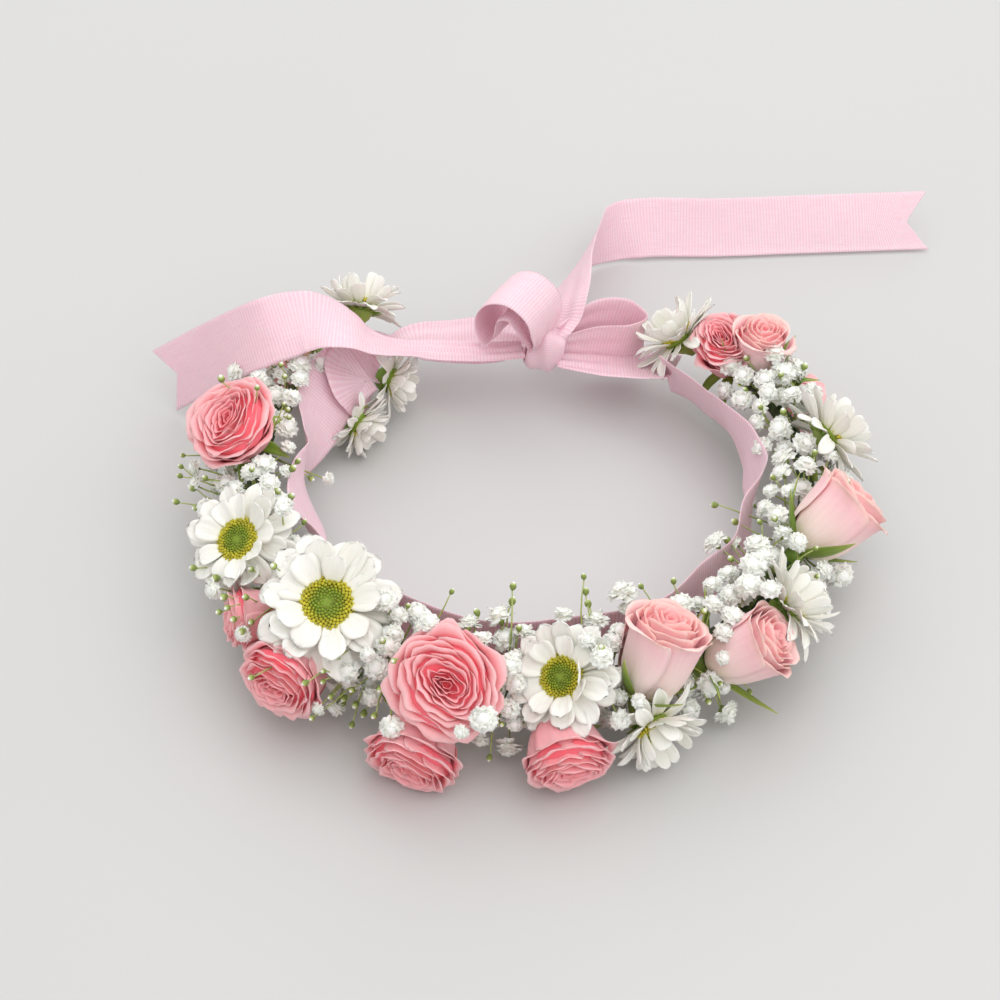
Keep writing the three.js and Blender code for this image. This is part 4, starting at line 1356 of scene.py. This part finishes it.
def ribbon_grid(stations, notch, seed, pleats, columns=21, per_rib=4):
    """The ribbon's middle surface in millimetres, with pleats, waves and ribs."""
    rng = np.random.default_rng(seed)
    t, at = even_steps(stations, per_rib)
    rows = smooth_through(stations, t)
    line, width = rows[:, :3], np.clip(rows[:, 6], 0.15, 1)
    along = np.gradient(line, axis=0)
    along /= np.linalg.norm(along, axis=1, keepdims=True)
    across = rows[:, 3:6] - (rows[:, 3:6] * along).sum(axis=1, keepdims=True) * along
    across /= np.linalg.norm(across, axis=1, keepdims=True)
    out = np.cross(along, across)
    s = np.linspace(-1, 1, columns)
    pleat = np.sqrt(np.clip(1 / width ** 2 - 1, 0, 4)) * width
    phase = rng.uniform(0, 2 * np.pi)
    fold = pleats * pleat[:, None] * np.sin(3.0 * np.pi * s[None, :] + phase)
    cup = 0.5 * np.cos(np.pi * s / 2)[None, :] * np.sin(at / 23.0 + phase)[:, None]
    rib = np.cos(2 * np.pi * at / RIB_PITCH)
    edge = np.clip((1 - np.abs(s)) / 0.06, 0, 1)
    ribs = 0.07 * rib[:, None] * edge[None, :]
    half = 0.5 * RIBBON_WIDTH * width[:, None] * s[None, :]
    relief = (fold + cup + ribs)[..., None]
    grid = line[:, None] + across[:, None] * half[..., None] + out[:, None] * relief
    if notch:
        near_end = np.clip((at - at[-1] + 3 * notch) / (3 * notch), 0, 1)
        back = notch * (1 - np.abs(s))[None, :] * near_end[:, None]
        grid = grid - along[:, None] * back[..., None]
    # the first mark is the rib's height, which the ribbon material paints as a highlight on each crest
    # and shade in each groove
    marks = np.stack([
        np.broadcast_to(0.5 + 0.5 * rib[:, None], half.shape),
        np.broadcast_to(0.5 + 0.5 * s[None, :], half.shape),
        np.broadcast_to((at / 400)[:, None], half.shape),
        np.zeros(half.shape)], axis=2)
    return grid, marks, at[-1]


def make_ribbon(name, stations, nodes, body, notch=0, pleats=0.6):
    """One stretch of ribbon as a sheet of cloth with its real length."""
    grid, marks, length = ribbon_grid(stations, notch, len(name), pleats)
    heap = Heap()
    heap.skin(keep_above_table(grid * MM), RIBBON_THICKNESS, marks)
    piece = heap.object(name, [RIBBON])
    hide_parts(*nodes)
    if body:
        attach(piece, body)
    return piece


lining = make_ribbon("ribbon_lining", lining_stations(), ["lining_ribbon"], "crown")
tie_left = make_ribbon("ribbon_tie_left", TIE_LEFT, ["tie_left"], "crown")
tie_right = make_ribbon("ribbon_tie_right", TIE_RIGHT, ["tie_right"], "crown")
loop_front = make_ribbon("ribbon_loop_front", LOOP_FRONT, ["bow_loop_front"], "crown")
loop_back = make_ribbon("ribbon_loop_back", LOOP_BACK, ["bow_loop_back"], "crown",
                        pleats=0.4)
left_fold = make_ribbon("ribbon_left_fold", LEFT_FOLD, ["left_fold"], "crown", pleats=0.2)
tail_left = make_ribbon("ribbon_tail_left", TAIL_LEFT, ["tail_left_root", "tail_left"], None,
                        notch=9)
tail_right = make_ribbon("ribbon_tail_right", TAIL_RIGHT, ["tail_right"], None, notch=9)
stretches = [lining, tie_left, tie_right, loop_front, loop_back, left_fold, tail_left, tail_right]
print("ribbon stretches:", [piece.name for piece in stretches])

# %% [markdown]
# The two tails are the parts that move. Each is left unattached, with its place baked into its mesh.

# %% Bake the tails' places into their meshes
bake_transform(tail_left)
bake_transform(tail_right)

# %% [markdown]
# The knot is one turn of ribbon pulled tight round the gathered strands, creased on the
# slant where it tucks under itself.

# %% Knot
def make_knot(body):
    """A tight creased band round the middle of the bow."""
    low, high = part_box("bow_knot")
    middle = np.array((low + high) / 2)
    size = np.array(high - low) / 2
    count, columns = 160, 33
    turn = np.linspace(0, 2 * np.pi * 0.985, count)
    s = np.linspace(-1, 1, columns)
    crease = 0.1 * np.sin(1.7 * s[None, :] * np.pi + 1.2 * np.sin(turn)[:, None] + 0.6)
    swell = (1 - 0.5 * np.abs(s) ** 2.5)[None, :] + crease
    x = size[0] * 0.95 * s[None, :] + 0.12 * size[0] * np.sin(turn)[:, None]
    y = size[1] * swell * np.cos(turn)[:, None]
    z = size[2] * swell * np.sin(turn)[:, None]
    grid = np.stack([x, y, z], axis=2) + middle
    marks = marks_of(count, columns, 0.3, 0)
    # the rib mark, painted by the ribbon material as highlights on the crests and shade in the grooves
    marks[..., 0] = (0.5 + 0.5 * np.cos(2 * np.pi * turn * 9))[:, None]
    heap = Heap()
    heap.skin(grid, KNOT_THICKNESS, marks)
    return settle(heap.object("ribbon_knot", [RIBBON]), "bow_knot", body)


knot = make_knot("crown")
print("knot:", len(knot.data.polygons), "faces")

# %% [markdown]
# The crown lies on a plain pale table in soft studio light: a bright even surround, one
# large soft lamp high at the front right, and a softer one behind.

# %% Table and light
TABLE_REACH = 3
SURROUND_COLOUR = (1.0, 0.99, 0.98, 1)
SURROUND_STRENGTH = 0.86


def make_table():
    """A wide matte table top, not part of the object."""
    mesh = bpy.data.meshes.new("table")
    corners = [(TABLE_REACH * x, TABLE_REACH * y, 0) for x, y in ((-1, -1), (1, -1), (1, 1), (-1, 1))]
    mesh.from_pydata(corners, [], [(0, 1, 2, 3)])
    table = bpy.data.objects.new("table", mesh)
    bpy.context.scene.collection.objects.link(table)
    material, tree, shader = new_material("table top")
    position = add_node(tree, "ShaderNodeTexCoord").outputs["Object"]
    body = ramp(tree, noise(tree, position, 3.0), [(0.3, "#c6c6c5"), (0.7, "#c9c9c8")])
    tree.links.new(body, shader.inputs["Base Color"])
    set_shader(shader, Roughness=0.55)
    mesh.materials.append(material)
    return table


def make_lamp(name, place, aim, size, power):
    """A square soft lamp at a place, aimed at a point."""
    data = bpy.data.lights.new(name, "AREA")
    data.size = size
    data.energy = power
    lamp = bpy.data.objects.new(name, data)
    lamp.location = place
    lamp.rotation_euler = (Vector(aim) - Vector(place)).to_track_quat("-Z", "Y").to_euler()
    bpy.context.scene.collection.objects.link(lamp)
    return lamp


make_table()
make_lamp("window", place=(0.5, -0.35, 1.35), aim=(0, 0.05, 0), size=1.8, power=10.5)
make_lamp("fill", place=(-0.1, 1.3, 1.2), aim=(0, 0.35, 0), size=1.8, power=8)
world = bpy.data.worlds.new("surround")
world.use_nodes = True
set_shader(world.node_tree.nodes["Background"], Color=SURROUND_COLOUR, Strength=SURROUND_STRENGTH)
bpy.context.scene.world = world
bpy.context.scene.view_settings.view_transform = "Standard"
print("table and lamps are set")
